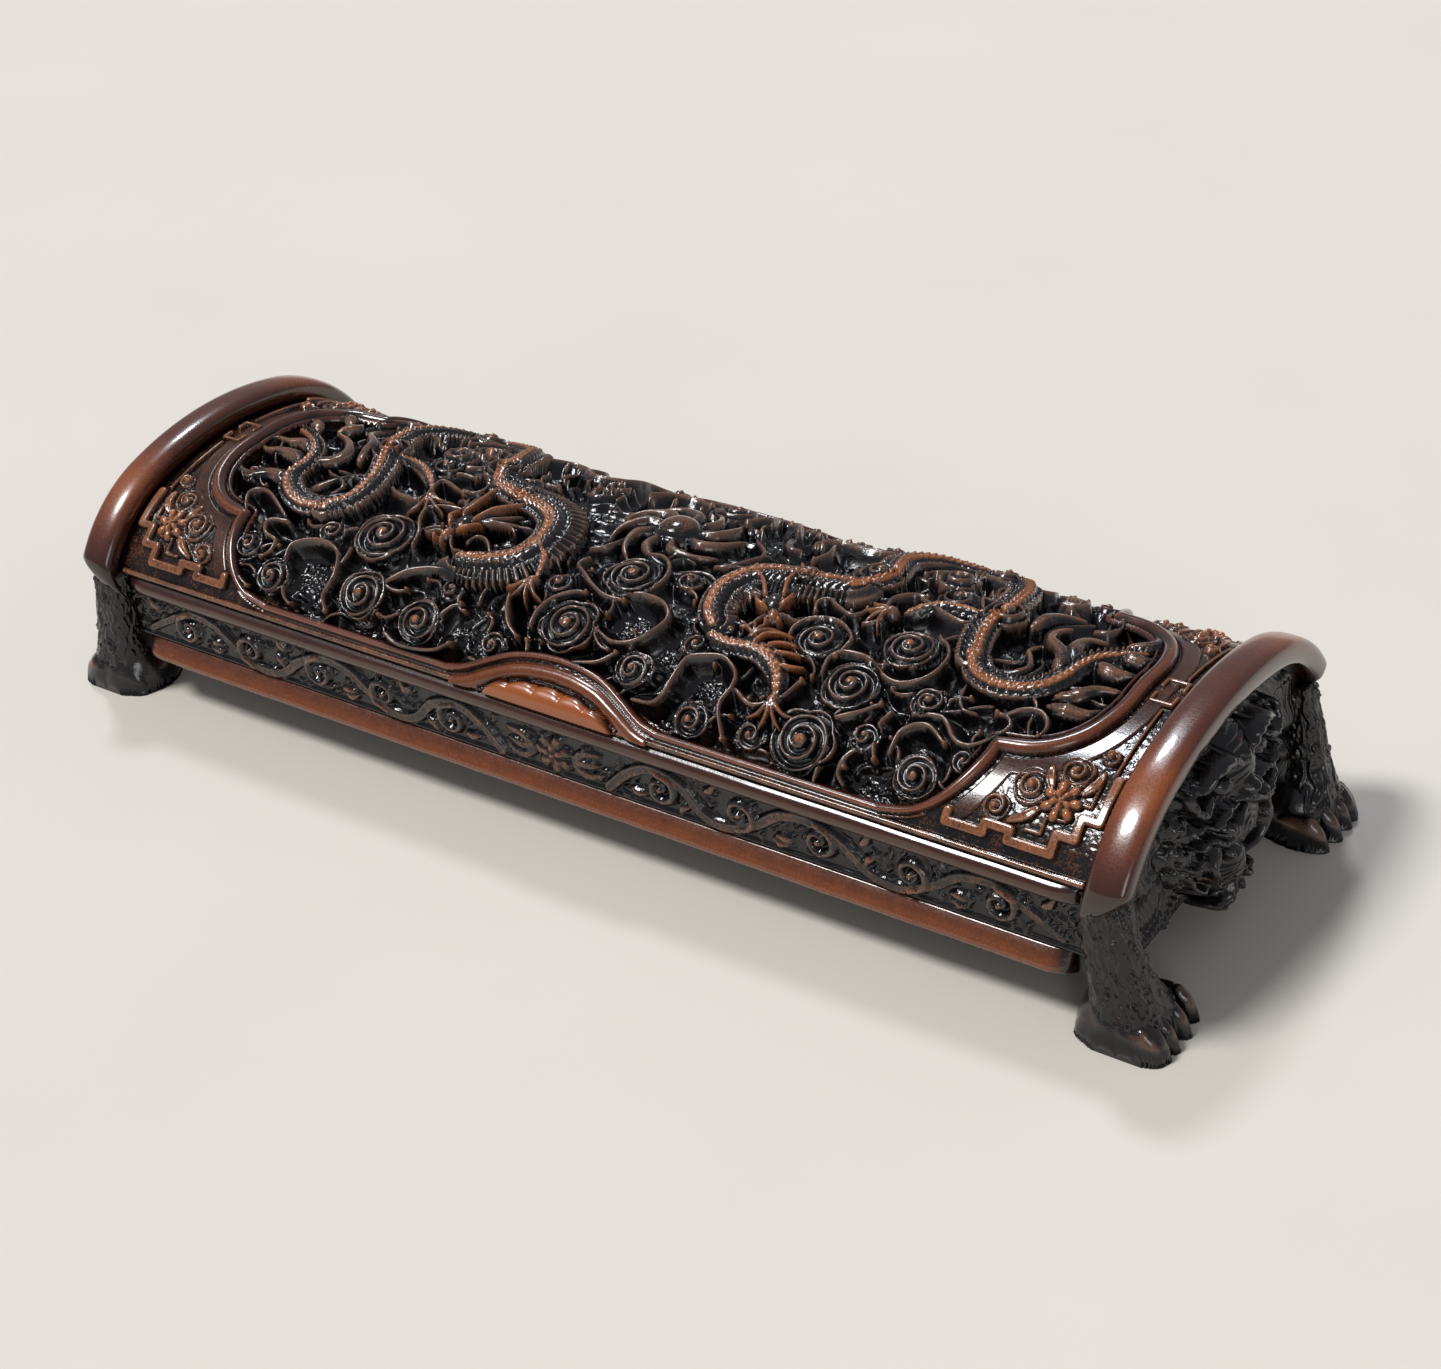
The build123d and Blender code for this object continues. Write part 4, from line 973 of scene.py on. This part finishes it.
def tube(name, x, y, z, wear, rub, material, body, nodes, flip=False):
    """A closed tube from rings of places, rings first, capped at both ends."""
    rings, ring = x.shape
    number = np.arange(rings * ring).reshape(rings, ring)
    turned = np.roll(number, -1, axis=1)
    sides = np.stack([number[:-1], number[1:], turned[1:], turned[:-1]], 2).reshape(-1, 4)
    caps = [number[:1], number[-1:, ::-1]]
    faces = [sides] + caps
    if flip:
        faces = [group[:, ::-1] for group in faces]
    corners = np.stack([x.ravel(), y.ravel(), z.ravel()], 1)
    paint = {"wear": np.broadcast_to(wear, x.shape), "rub": np.broadcast_to(rub, x.shape)}
    make_mesh(name, corners, faces, material, body, nodes, paint)


def rim_piece(side, way):
    """The rim swept along its arch in rings, from the tip of one tail to the tip of the other."""
    steps, ring = 220, 40
    arch_end = half_run - 1.5
    drop = tail_top - tail_tip
    reach = arch_end + drop
    run = np.linspace(-reach, reach, steps + 1)
    past = np.clip((np.abs(run) - arch_end) / drop, 0, 1)
    held = np.clip(run, -arch_end, arch_end)
    thin = np.clip(1 - past**1.3, 0.02, 1)
    mid_y, mid_z = arch_place(held, (rim_rise - rim_root) / 2)
    out_y, out_z = arch_place(held, (rim_rise - rim_root) / 2 + 1)
    out_y, out_z = out_y - mid_y, out_z - mid_z
    along_y = np.abs(out_z)
    sink = past * drop
    mid_y = mid_y + np.sign(run) * (along_y * sink * (1 - 0.75 * past) - 1.6 * past**2)
    mid_z = mid_z - sink * (0.87 + 0.13 * past)
    mid_x = panel_inner + rim_width / 2 - tail_lean * past**1.3
    turn = np.linspace(0, 2 * pi, ring, endpoint=False)
    round_x = np.where(np.cos(turn) > 0, np.abs(np.cos(turn)) ** roundness, np.cos(turn))
    round_n = np.sign(np.sin(turn)) * np.abs(np.sin(turn)) ** roundness
    half_n = (rim_rise + rim_root) / 2 * thin
    half_x = rim_width / 2 * (thin * 0.85 + 0.15 * thin**2)
    x = mid_x[:, None] + half_x[:, None] * round_x
    y = mid_y[:, None] + out_y[:, None] * half_n[:, None] * round_n
    z = mid_z[:, None] + out_z[:, None] * half_n[:, None] * round_n
    bend = np.exp(-(((np.abs(run) - crown_run - 5) / 9) ** 2))
    low_end = ease(arch_end - 7, reach, np.abs(run))[:, None]
    rub = (0.1 + 0.42 * bend)[:, None] * (0.5 + 0.5 * round_n) * (1 - low_end)
    wear = 0.8 + 0.15 * round_n + 0 * x - 0.7 * low_end
    tube(f"smooth_{side}_end_rim", way * x, y, z, wear, rub, smooth_resin,
         "base", [f"{side}_end_rim"], flip=way < 0)


for side, way in ENDS:
    rim_piece(side, way)


# A beast's head with a curly mane is cast on each end panel, between the rim's tails. Its carving
# is heights out from the panel, over y and z.
mask_ground = Ground((-36.0, 36.0), (4.5, 47.0), 224, 132)
beast = mask_ground.level()
mask_foot = -0.6
nose_height = 24
mane_foot = 11


def mirrored(points):
    return [(-y, z) for y, z in points]


for k in range(13):
    turn = radians(-52 + 284 * k / 12)
    c, s = cos(turn), sin(turn)
    hand = 1 if k % 2 else -1
    lock = [(11 * c, 28 + 10 * s), (17 * c - 2.5 * s, 29 + 13 * s + 2.5 * c),
            (21 * c, 29.5 + 14.5 * s)]
    mask_ground.ridge(beast, lock, 4.2, 4.6, mask_foot, (0.8, 0.4), 0.4, lip=0.8)
    mask_ground.curl(beast, 20.3 * c, 29.5 + 13.6 * s, 3.5, hand, 4.2, mask_foot, pitch=1.6)
mask_ground.knob(beast, 0, 27.5, 15.5, 6.6, mask_foot)
mask_ground.knob(beast, 0, 24.5, 10.6, 8.4, mask_foot, squash=0.85)
mask_ground.knob(beast, 0, 36, 8.5, 7.8, mask_foot, squash=1.2)
mask_ground.knob(beast, 0, 13.5, 7.6, 6.8, mask_foot)
for flip in (lambda points: points, mirrored):
    for points, width, top in (
        ([(2, 39.2), (6, 42.4), (11, 42.2), (14.5, 39)], 3.2, 8.0),
        ([(1, 29.8), (5, 27.6), (9.5, 26.2), (13, 28.6), (15.5, 27.2)], 3.0, 9.0),
        ([(3.4, 31.6), (8, 32.4), (12, 31), (15.5, 33.2), (18, 31.8)], 1.8, 8.2),
        ([(10, 25), (11.5, 20), (9.5, 15.5), (5, 13.2)], 2.6, 7.6),
        ([(12, 37), (15, 35.8), (17.4, 37.6), (18, 41)], 3.0, 7.0),
        ([(1.6, 14), (3, 10.6), (6.4, 8.6), (9, 9.8)], 2.4, 7.2),
        ([(0.8, 12), (1.4, 8.6), (3.8, 6.4), (6, 6.8)], 2.0, 6.8),
        ([(9, 19), (12.5, 16.5), (15.5, 18.2), (16.2, 21.5)], 2.4, 6.0),
        ([(13, 24.5), (16, 23), (18.8, 25)], 2.4, 5.8),
    ):
        mask_ground.ridge(beast, flip(points), width, top, mask_foot, (0.8, 0.25), 0.4)
    for (y, z), size, top, squash in (((7.4, 37.2), 3.2, 7.9, 0.85), ((2.7, 32.6), 2.2, 9.6, 0.9),
                                      ((7.6, 22.2), 1.3, 9.0, 1.9), ((7, 27.8), 3.2, 8.9, 0.8)):
        (y, z), = flip([(y, z)])
        mask_ground.knob(beast, y, z, size, top, mask_foot, squash)
for y, z, size, top in ((0, 33.4, 3.6, 10.0), (0, 40, 2.6, 8.2), (0, 19, 1.2, 8.0)):
    mask_ground.knob(beast, y, z, size, top, mask_foot)
for k in range(5):
    mask_ground.knob(beast, 2.3 * (k - 2), 22.6, 1.15, 8.6, mask_foot, squash=1.4)


def dent(ground, target, u, v, size, depth, squash=1.0):
    """Sinks a soft hollow, such as a nostril or the open mouth."""
    far = np.hypot(ground.u - u, (ground.v - v) / squash) / size
    target -= depth * np.exp(-far**4)


dent(mask_ground, beast, 0, 20, 6.4, 2.6, 0.32)
for side in (-1, 1):
    dent(mask_ground, beast, side * 7.4, 37.0, 1.0, 1.1)
    dent(mask_ground, beast, side * 2.9, 31.6, 0.9, 1.3)
arch_y, arch_z = arch_place(lid.along, -2.0)
under_rim = mask_ground.v < np.interp(mask_ground.u, arch_y, arch_z)
from_nose = np.hypot(mask_ground.u, mask_ground.v - nose_height)
round_nose = np.arctan2(mask_ground.v - nose_height, mask_ground.u)
swirl = 1.6 * np.sin(0.4 * from_nose) + 4 * grain_over(mask_ground.shape, 10, 22)
mane = 0.5 + 0.55 * np.sin(20 * round_nose + swirl)
beast = np.maximum(beast, np.where(under_rim & (mask_ground.v > mane_foot), mane, nothing))
combed = 4.2 * from_nose + 5 * grain_over(mask_ground.shape, 9, 14)
beast = np.where(beast > mask_foot, beast + 0.22 * np.sin(combed), beast)
# Halving the wear paints the shade that falls on the box's ends into the masks: their crests stay
# near black instead of rubbing through to brown.
mask_wear_halved_as_shade = mask_ground.wear_of(beast, low=-1.0, high=16.0) * 0.5
for side, way in ENDS:
    def at_end(y, z, h, way=way):
        return way * (panel_outer + h), way * y, z

    relief_piece(
        f"carved_{side}_beast_mask", mask_ground, beast, mask_foot, at_end, carved_resin, "base",
        [f"{side}_beast_mask"], mask_wear_halved_as_shade,
    )


# Four legs covered in curled locks, each on a broad lion's paw, are cast in one with the box. They
# are nearly black, with a little brown on the toes.
leg_high = box_of("leg_back_right")[1]
leg_top, toe_tip, toe_side = leg_high.z, leg_high.x, leg_high.y
leg_squareness = 2.7
round_leg = 46.0  # how long the pelt is that wraps round a leg
LONG_SIDES = (("front", -1), ("back", 1))
fur = Ground((0, round_leg), (4.0, leg_top), 150, 88)
pelt = fur.level(0)
draw = np.random.default_rng(12)
for row in range(4):
    for k in range(9):
        u = round_leg * (k + 0.5 * (row % 2)) / 9 + draw.uniform(-0.5, 0.5)
        v = leg_top - 1.5 - 6.4 * row
        hand = 1 if (k + row) % 2 else -1
        lock = [(u, v), (u + 0.8 * hand, v - 3), (u - 0.4 * hand, v - 6), (u + 1.6 * hand, v - 8.6)]
        for shift in (-round_leg, 0, round_leg):
            shifted = [(a + shift, b) for a, b in lock]
            fur.ridge(pelt, shifted, 2.8, 0.7, 0, (0.7, 0.3), 0.4, lip=0.3, rub=0.1)
for k in range(46):
    u, v, size = draw.uniform(0, round_leg), draw.uniform(5, leg_top), draw.uniform(1.2, 2.2)
    for shift in (-round_leg, 0, round_leg):
        fur.curl(pelt, u + shift, v, size, 1 if k % 2 else -1, 1.0, 0, pitch=1.1)
pelt = np.minimum(pelt, 1.0) * 0.8 + 0.12 * grain_over(fur.shape, 15, 3)
pelt[:, -1] = pelt[:, 0]
fur_wear = fur.wear_of(pelt, low=-0.2, high=1.4) * 0.8
LEG_LEVELS = [  # height, middle along x, middle along y, half width along x, half depth
    (leg_top, 125.7, 39.6, 4.6, 3.6), (26, 126.2, 39.8, 4.9, 3.9), (20.5, 127.2, 39.6, 5.4, 4.2),
    (14, 128.2, 39.2, 5.8, 4.8), (10, 129.2, 38.2, 6.6, 6.0), (7, 129.8, 37.4, 7.2, 7.2),
    (4, 130, 37, 7.6, 7.8),
]


def leg_piece(depth, side, way_x, way_y):
    """A leg as rings from its foot up, with the pelt wrapped round it."""
    level = np.array(LEG_LEVELS)[::-1]
    mid_x, mid_y, half_x, half_y = (
        np.interp(fur.along, level[:, 0], level[:, k])[:, None] for k in range(1, 5)
    )
    turn = 2 * pi * fur.u[:, :-1] / round_leg
    c, s = np.cos(turn), np.sin(turn)
    square = (np.abs(c) ** leg_squareness + np.abs(s) ** leg_squareness) ** (-1 / leg_squareness)
    h = pelt[:, :-1] - 0.4
    x, y = mid_x + (half_x + h) * c * square, mid_y + (half_y + h) * s * square
    z = np.broadcast_to(fur.v[:, :-1], x.shape)
    name = f"{depth}_{side}"
    tube(
        f"furred_leg_{name}", way_x * x, way_y * y, z, fur_wear[:, :-1], fur.rub[:, :-1],
        carved_resin, "base", [f"leg_{name}"], flip=way_x * way_y > 0,
    )


paw_ground = Ground((118.5, toe_tip), (26.0, toe_side), 90, 80)
paw = paw_ground.level()
paw_middle = toe_side - 9.6
paw_ground.knob(paw, 128.6, paw_middle + 0.6, 9.4, 11.5, 0, squash=0.98, power=2.4, rub=0.15)
for k in range(4):
    y = toe_side - 2.45 - 4.7 * k
    tip = toe_tip - 0.8 * abs(k - 1.5)
    paw_ground.knob(paw, tip - 6.6, y, 6.4, 6.6, 0, squash=0.4, power=3.2, rub=0.1)
    paw_ground.knob(paw, tip - 4.4, y, 2.9, 6.9, 0, squash=0.8, power=2.4, rub=0.15)
    paw_ground.knob(paw, tip - 1.3, y, 1.3, 3.2, 0, squash=0.9)
paw_ground.knob(paw, 130.2, toe_side - 3.9, 9.6, 8.6, 0, squash=0.4, power=2.4, rub=0.3)
paw_wear = paw_ground.wear_of(paw, low=0, high=14)
for depth, way_y in LONG_SIDES:
    for side, way_x in ENDS:
        leg_piece(depth, side, way_x, way_y)

        def on_foot(x, y, z, way_x=way_x, way_y=way_y):
            return way_x * x, way_y * y, np.maximum(z, 0)

        relief_piece(
            f"paw_{depth}_{side}", paw_ground, paw, 0.0, on_foot, carved_resin, "base",
            [], paw_wear,
        )


# A sunk frieze runs along each side under the lid: scrolling stems with curled tendrils and leaves
# run out from a peony in its middle, over a fine bead along its foot.
frieze_low, frieze_high = box_of("back_frieze")
frieze_end, wall_outer = 121.8, frieze_low.y
frieze = Ground((-frieze_end, frieze_end), (frieze_low.z - 0.1, frieze_high.z + 0.1), 810, 40)
scrolls = frieze.level(0)
frieze_foot = -0.5
frieze_sunk = 0.9  # how far its ground lies out from the wall
frieze_middle = 21


def tendril(u, v, hand, start):
    """A stem that winds inwards to a bud."""
    radius, turns = 3.9, 1.35
    points = []
    for step in range(9):
        share = step / 8
        reach = radius * (1 - 0.78 * share)
        angle = radians(start) + hand * 2 * pi * turns * share
        points.append((u + reach * cos(angle), v + reach * sin(angle)))
    frieze.ridge(scrolls, points, 1.7, 1.7, frieze_foot, (1.0, 0.5), 0.3, rub=0.2, flare=1.0)
    frieze.knob(scrolls, u, v, 1.0, 1.9, frieze_foot, rub=0.3)


def leaf_from(u, v, heading, bend, reaches):
    """Places along a leaf that sets out from u and v and bends as it goes."""
    return [(u + r * cos(heading + bend * r), v + r * sin(heading + bend * r)) for r in reaches]


def sprig(way, points, width, top, ends, full, **finish):
    """A stem or leaf on one side, way, of the frieze's middle."""
    frieze.ridge(scrolls, [(way * u, v) for u, v in points], width, top, frieze_foot, ends, full,
                 **finish)


for way in (-1, 1):
    stem = [(14, 17.6), (19, 22.5), (25, 25.4), (32, 23.5), (37, 18.6), (43, 17.4), (50, 20.6),
            (56, 24.8), (63, 25.6), (70, 22.6), (76, 18), (83, 17.2), (90, 20.5), (96, 24.6),
            (103, 25.4), (110, 22), (117, 18)]
    sprig(way, stem, 2.8, 1.6, (1, 0.7), 0.5, lip=0.5, rub=0.34)
    for u, v, hand, start in ((27, 21.2, -1, 100), (46, 21.6, 1, 260), (64.5, 21.6, -1, 95),
                              (85, 21.2, 1, 265), (104, 21.2, -1, 95)):
        tendril(way * u, v, hand * way, start if way > 0 else 180 - start)
    for u, v, heading in ((34, 19.4, 200), (38, 24.3, 20), (54, 18.6, 330), (58, 19.2, 150),
                          (74, 24.4, 30), (77, 22.4, 210), (94, 18.6, 330), (97, 19.6, 150),
                          (113, 24.2, 20), (20, 19.2, 330)):
        points = leaf_from(u, v, radians(heading), 0.12, (0, 1.8, 3.8))
        sprig(way, points, 2.3, 1.5, (0.5, 0.1), 0.4, rub=0.35)
draw = np.random.default_rng(21)
for _ in range(420):
    u, v = draw.uniform(-frieze_end, frieze_end), draw.uniform(17.5, 26.5)
    heading = draw.uniform(0, 2 * pi)
    row, column = np.searchsorted(frieze.along, v), np.searchsorted(frieze.across, u)
    if scrolls[row, column] < 0.15:
        points = leaf_from(u, v, heading, 0.35, (0, 1.1, 2.3))
        frieze.ridge(scrolls, points, 1.2, draw.uniform(0.5, 1.1), frieze_foot, (0.6, 0.2), 0.4)
frieze_petals = ((3.2, 7, 2.2, 1.3, 20), (1.7, 5, 1.6, 1.8, 20))
peony(frieze, scrolls, 0, frieze_middle, frieze_foot, frieze_petals, 0.8, 0.45,
      heart=(1.0, 2.0, 0.5))
for way in (-1, 1):
    for points in ([(5, 21), (8, 23.6), (12.5, 24)], [(5, 20), (8.5, 18.4), (13, 19.6)],
                   [(5, 21), (9, 21), (12, 21.6)]):
        sprig(way, points, 2.3, 1.5, (0.6, 0.1), 0.4, lip=0.3, rub=0.4)
bead_height, bead_half = 16.1, 0.55
from_bead = (frieze.v - bead_height) / bead_half
bead_line = 0.7 * np.sqrt(np.clip(1 - from_bead**2, 0, 1))
scrolls = np.maximum(scrolls + 0.12 * grain_over(frieze.shape, 8, 2.5), bead_line)
frieze_wear = frieze.wear_of(scrolls, low=-0.2, high=2.0)
for depth, way in LONG_SIDES:
    def on_side(x, z, h, way=way):
        return -way * x, way * (wall_outer + frieze_sunk + h), z

    relief_piece(
        f"carved_{depth}_frieze", frieze, scrolls, -frieze_sunk, on_side, carved_resin, "base",
        [f"{depth}_frieze"], frieze_wear,
    )


# A rounded rail runs along each side above the frieze, and a smooth swelling moulding below it,
# both rubbed to red brown; the moulding's stronger amber is partly real rub and partly painted
# light, the glow bounced up onto it from the pale floor. Each is one outline swept along the box,
# slightly uneven as cast.
def run_moulding(node, outline, end, way, rub):
    """A moulding along the box from an outline of places out from the wall and up."""
    line = smooth_line(outline, 5)
    outline = np.vstack([line, [(0, line[-1][1]), (0, line[0][1])]])
    stations = 160
    x = np.linspace(-end, end, stations + 1)[:, None]
    wave = 0.02 * grain_over((stations + 1, len(outline)), int(end), 6)
    rounded_end = 6
    past = np.clip((np.abs(x) - end + rounded_end) / rounded_end, 0, 1)
    fading = np.sqrt(np.clip(1 - past**2, 0.02, 1))
    out = outline[:, 0] * (1 + wave) * fading
    y, z = way * (wall_outer + out), np.broadcast_to(outline[:, 1], out.shape)
    x = np.broadcast_to(x, out.shape)
    wear = (0.1 + 0.2 * outline[:, 0]) * fading + 0 * x
    rub = rub * fading**2 + 0 * x
    tube(
        f"smooth_{node}", x, y, z, wear, rub, smooth_resin, "base", [node],
        flip=way < 0,
    )


def outline_over(low, places):
    """An outline from places out from the wall and up from a height."""
    return [(out, low + up) for out, up in places]


rail_low, rail_high = box_of("back_rail")
foot_low, foot_high = box_of("back_base_moulding")
rail_outline = outline_over(rail_low.z, [(1.2, 0), (2.5, 0.25), (3.3, 1.7), (2.9, 3.2)])
rail_outline += [(1.9, rail_high.z)]
foot_outline = outline_over(foot_low.z, [(2.9, 0), (3.75, 0.8), (3.8, 1.9), (3.0, 3.1), (2.5, 3.9)])
foot_outline += [(1.4, foot_high.z)]
for depth, way in LONG_SIDES:
    run_moulding(f"{depth}_rail", rail_outline, 121.5, way, 0.05)
    # The base moulding's rub of 0.42 is partly wear and partly painted light: the floor's bounce
    # that brightens it.
    run_moulding(f"{depth}_base_moulding", foot_outline, 119.5, way, 0.42)


# The tray's floor and walls, the end panels and the lid's lips are plain resin, duller than the
# carving and only a little rubbed. They keep the shapes that they have in the frame.
plain_resin = resin(
    "plain_resin", hollow=colour(22, 15, 13), body=colour(40, 27, 22), worn=colour(64, 42, 32),
    amber=colour(80, 50, 36), gloss=0.36,
)
for name in ("tray_floor", "front_wall", "back_wall", "left_end_panel", "right_end_panel",
             "front_lid_lip", "back_lid_lip"):
    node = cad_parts[name]
    node.data.materials.clear()
    node.data.materials.append(plain_resin)


# The box stands on a plain pale floor, under one broad soft light high on the left, a weak one from
# the right and a small cool one that makes the gloss sparkle.
floor_mesh = bpy.data.meshes.new("floor")
floor_reach = 12.0
floor_corners = [(x * floor_reach, y * floor_reach, 0)
                 for x, y in ((-1, -1), (1, -1), (1, 1), (-1, 1))]
floor_mesh.from_pydata(floor_corners, [], [(0, 1, 2, 3)])
pale = bpy.data.materials.new("pale_floor")
pale.use_nodes = True
Wire.tree = pale.node_tree
floor_shader = pale.node_tree.nodes["Principled BSDF"]
floor_tone = cloudy(9.0, 3.0).between(colour(206, 200, 190), colour(214, 208, 198))
Wire.feed(floor_shader.inputs["Base Color"], floor_tone)
floor_shader.inputs["Roughness"].default_value = 0.85
floor_mesh.materials.append(pale)
floor_piece = bpy.data.objects.new("floor", floor_mesh)
bpy.context.scene.collection.objects.link(floor_piece)


def soft_light(name, towards, spread, power, tint=(1, 1, 1)):
    """Even light from a direction, as soft as a disc of sky that is spread degrees across."""
    lamp = bpy.data.lights.new(name, "SUN")
    lamp.angle = radians(spread)
    lamp.energy = power
    lamp.color = tint
    piece = bpy.data.objects.new(name, lamp)
    piece.rotation_euler = Vector(towards).to_track_quat("Z", "Y").to_euler()
    bpy.context.scene.collection.objects.link(piece)


soft_light("window", (-0.38, -0.33, 0.86), 15, 2.5)
soft_light("side_fill", (0.8, -0.9, 0.5), 20, 0.3)
soft_light("sparkle", (-0.39, 0.41, 0.82), 8, 1.0, (0.85, 0.92, 1.0))
world = bpy.data.worlds.new("studio")
world.use_nodes = True
world.node_tree.nodes["Background"].inputs["Color"].default_value = (0.9, 0.92, 1.0, 1)
world.node_tree.nodes["Background"].inputs["Strength"].default_value = 0.3
bpy.context.scene.world = world
bpy.context.scene.view_settings.view_transform = "Standard"
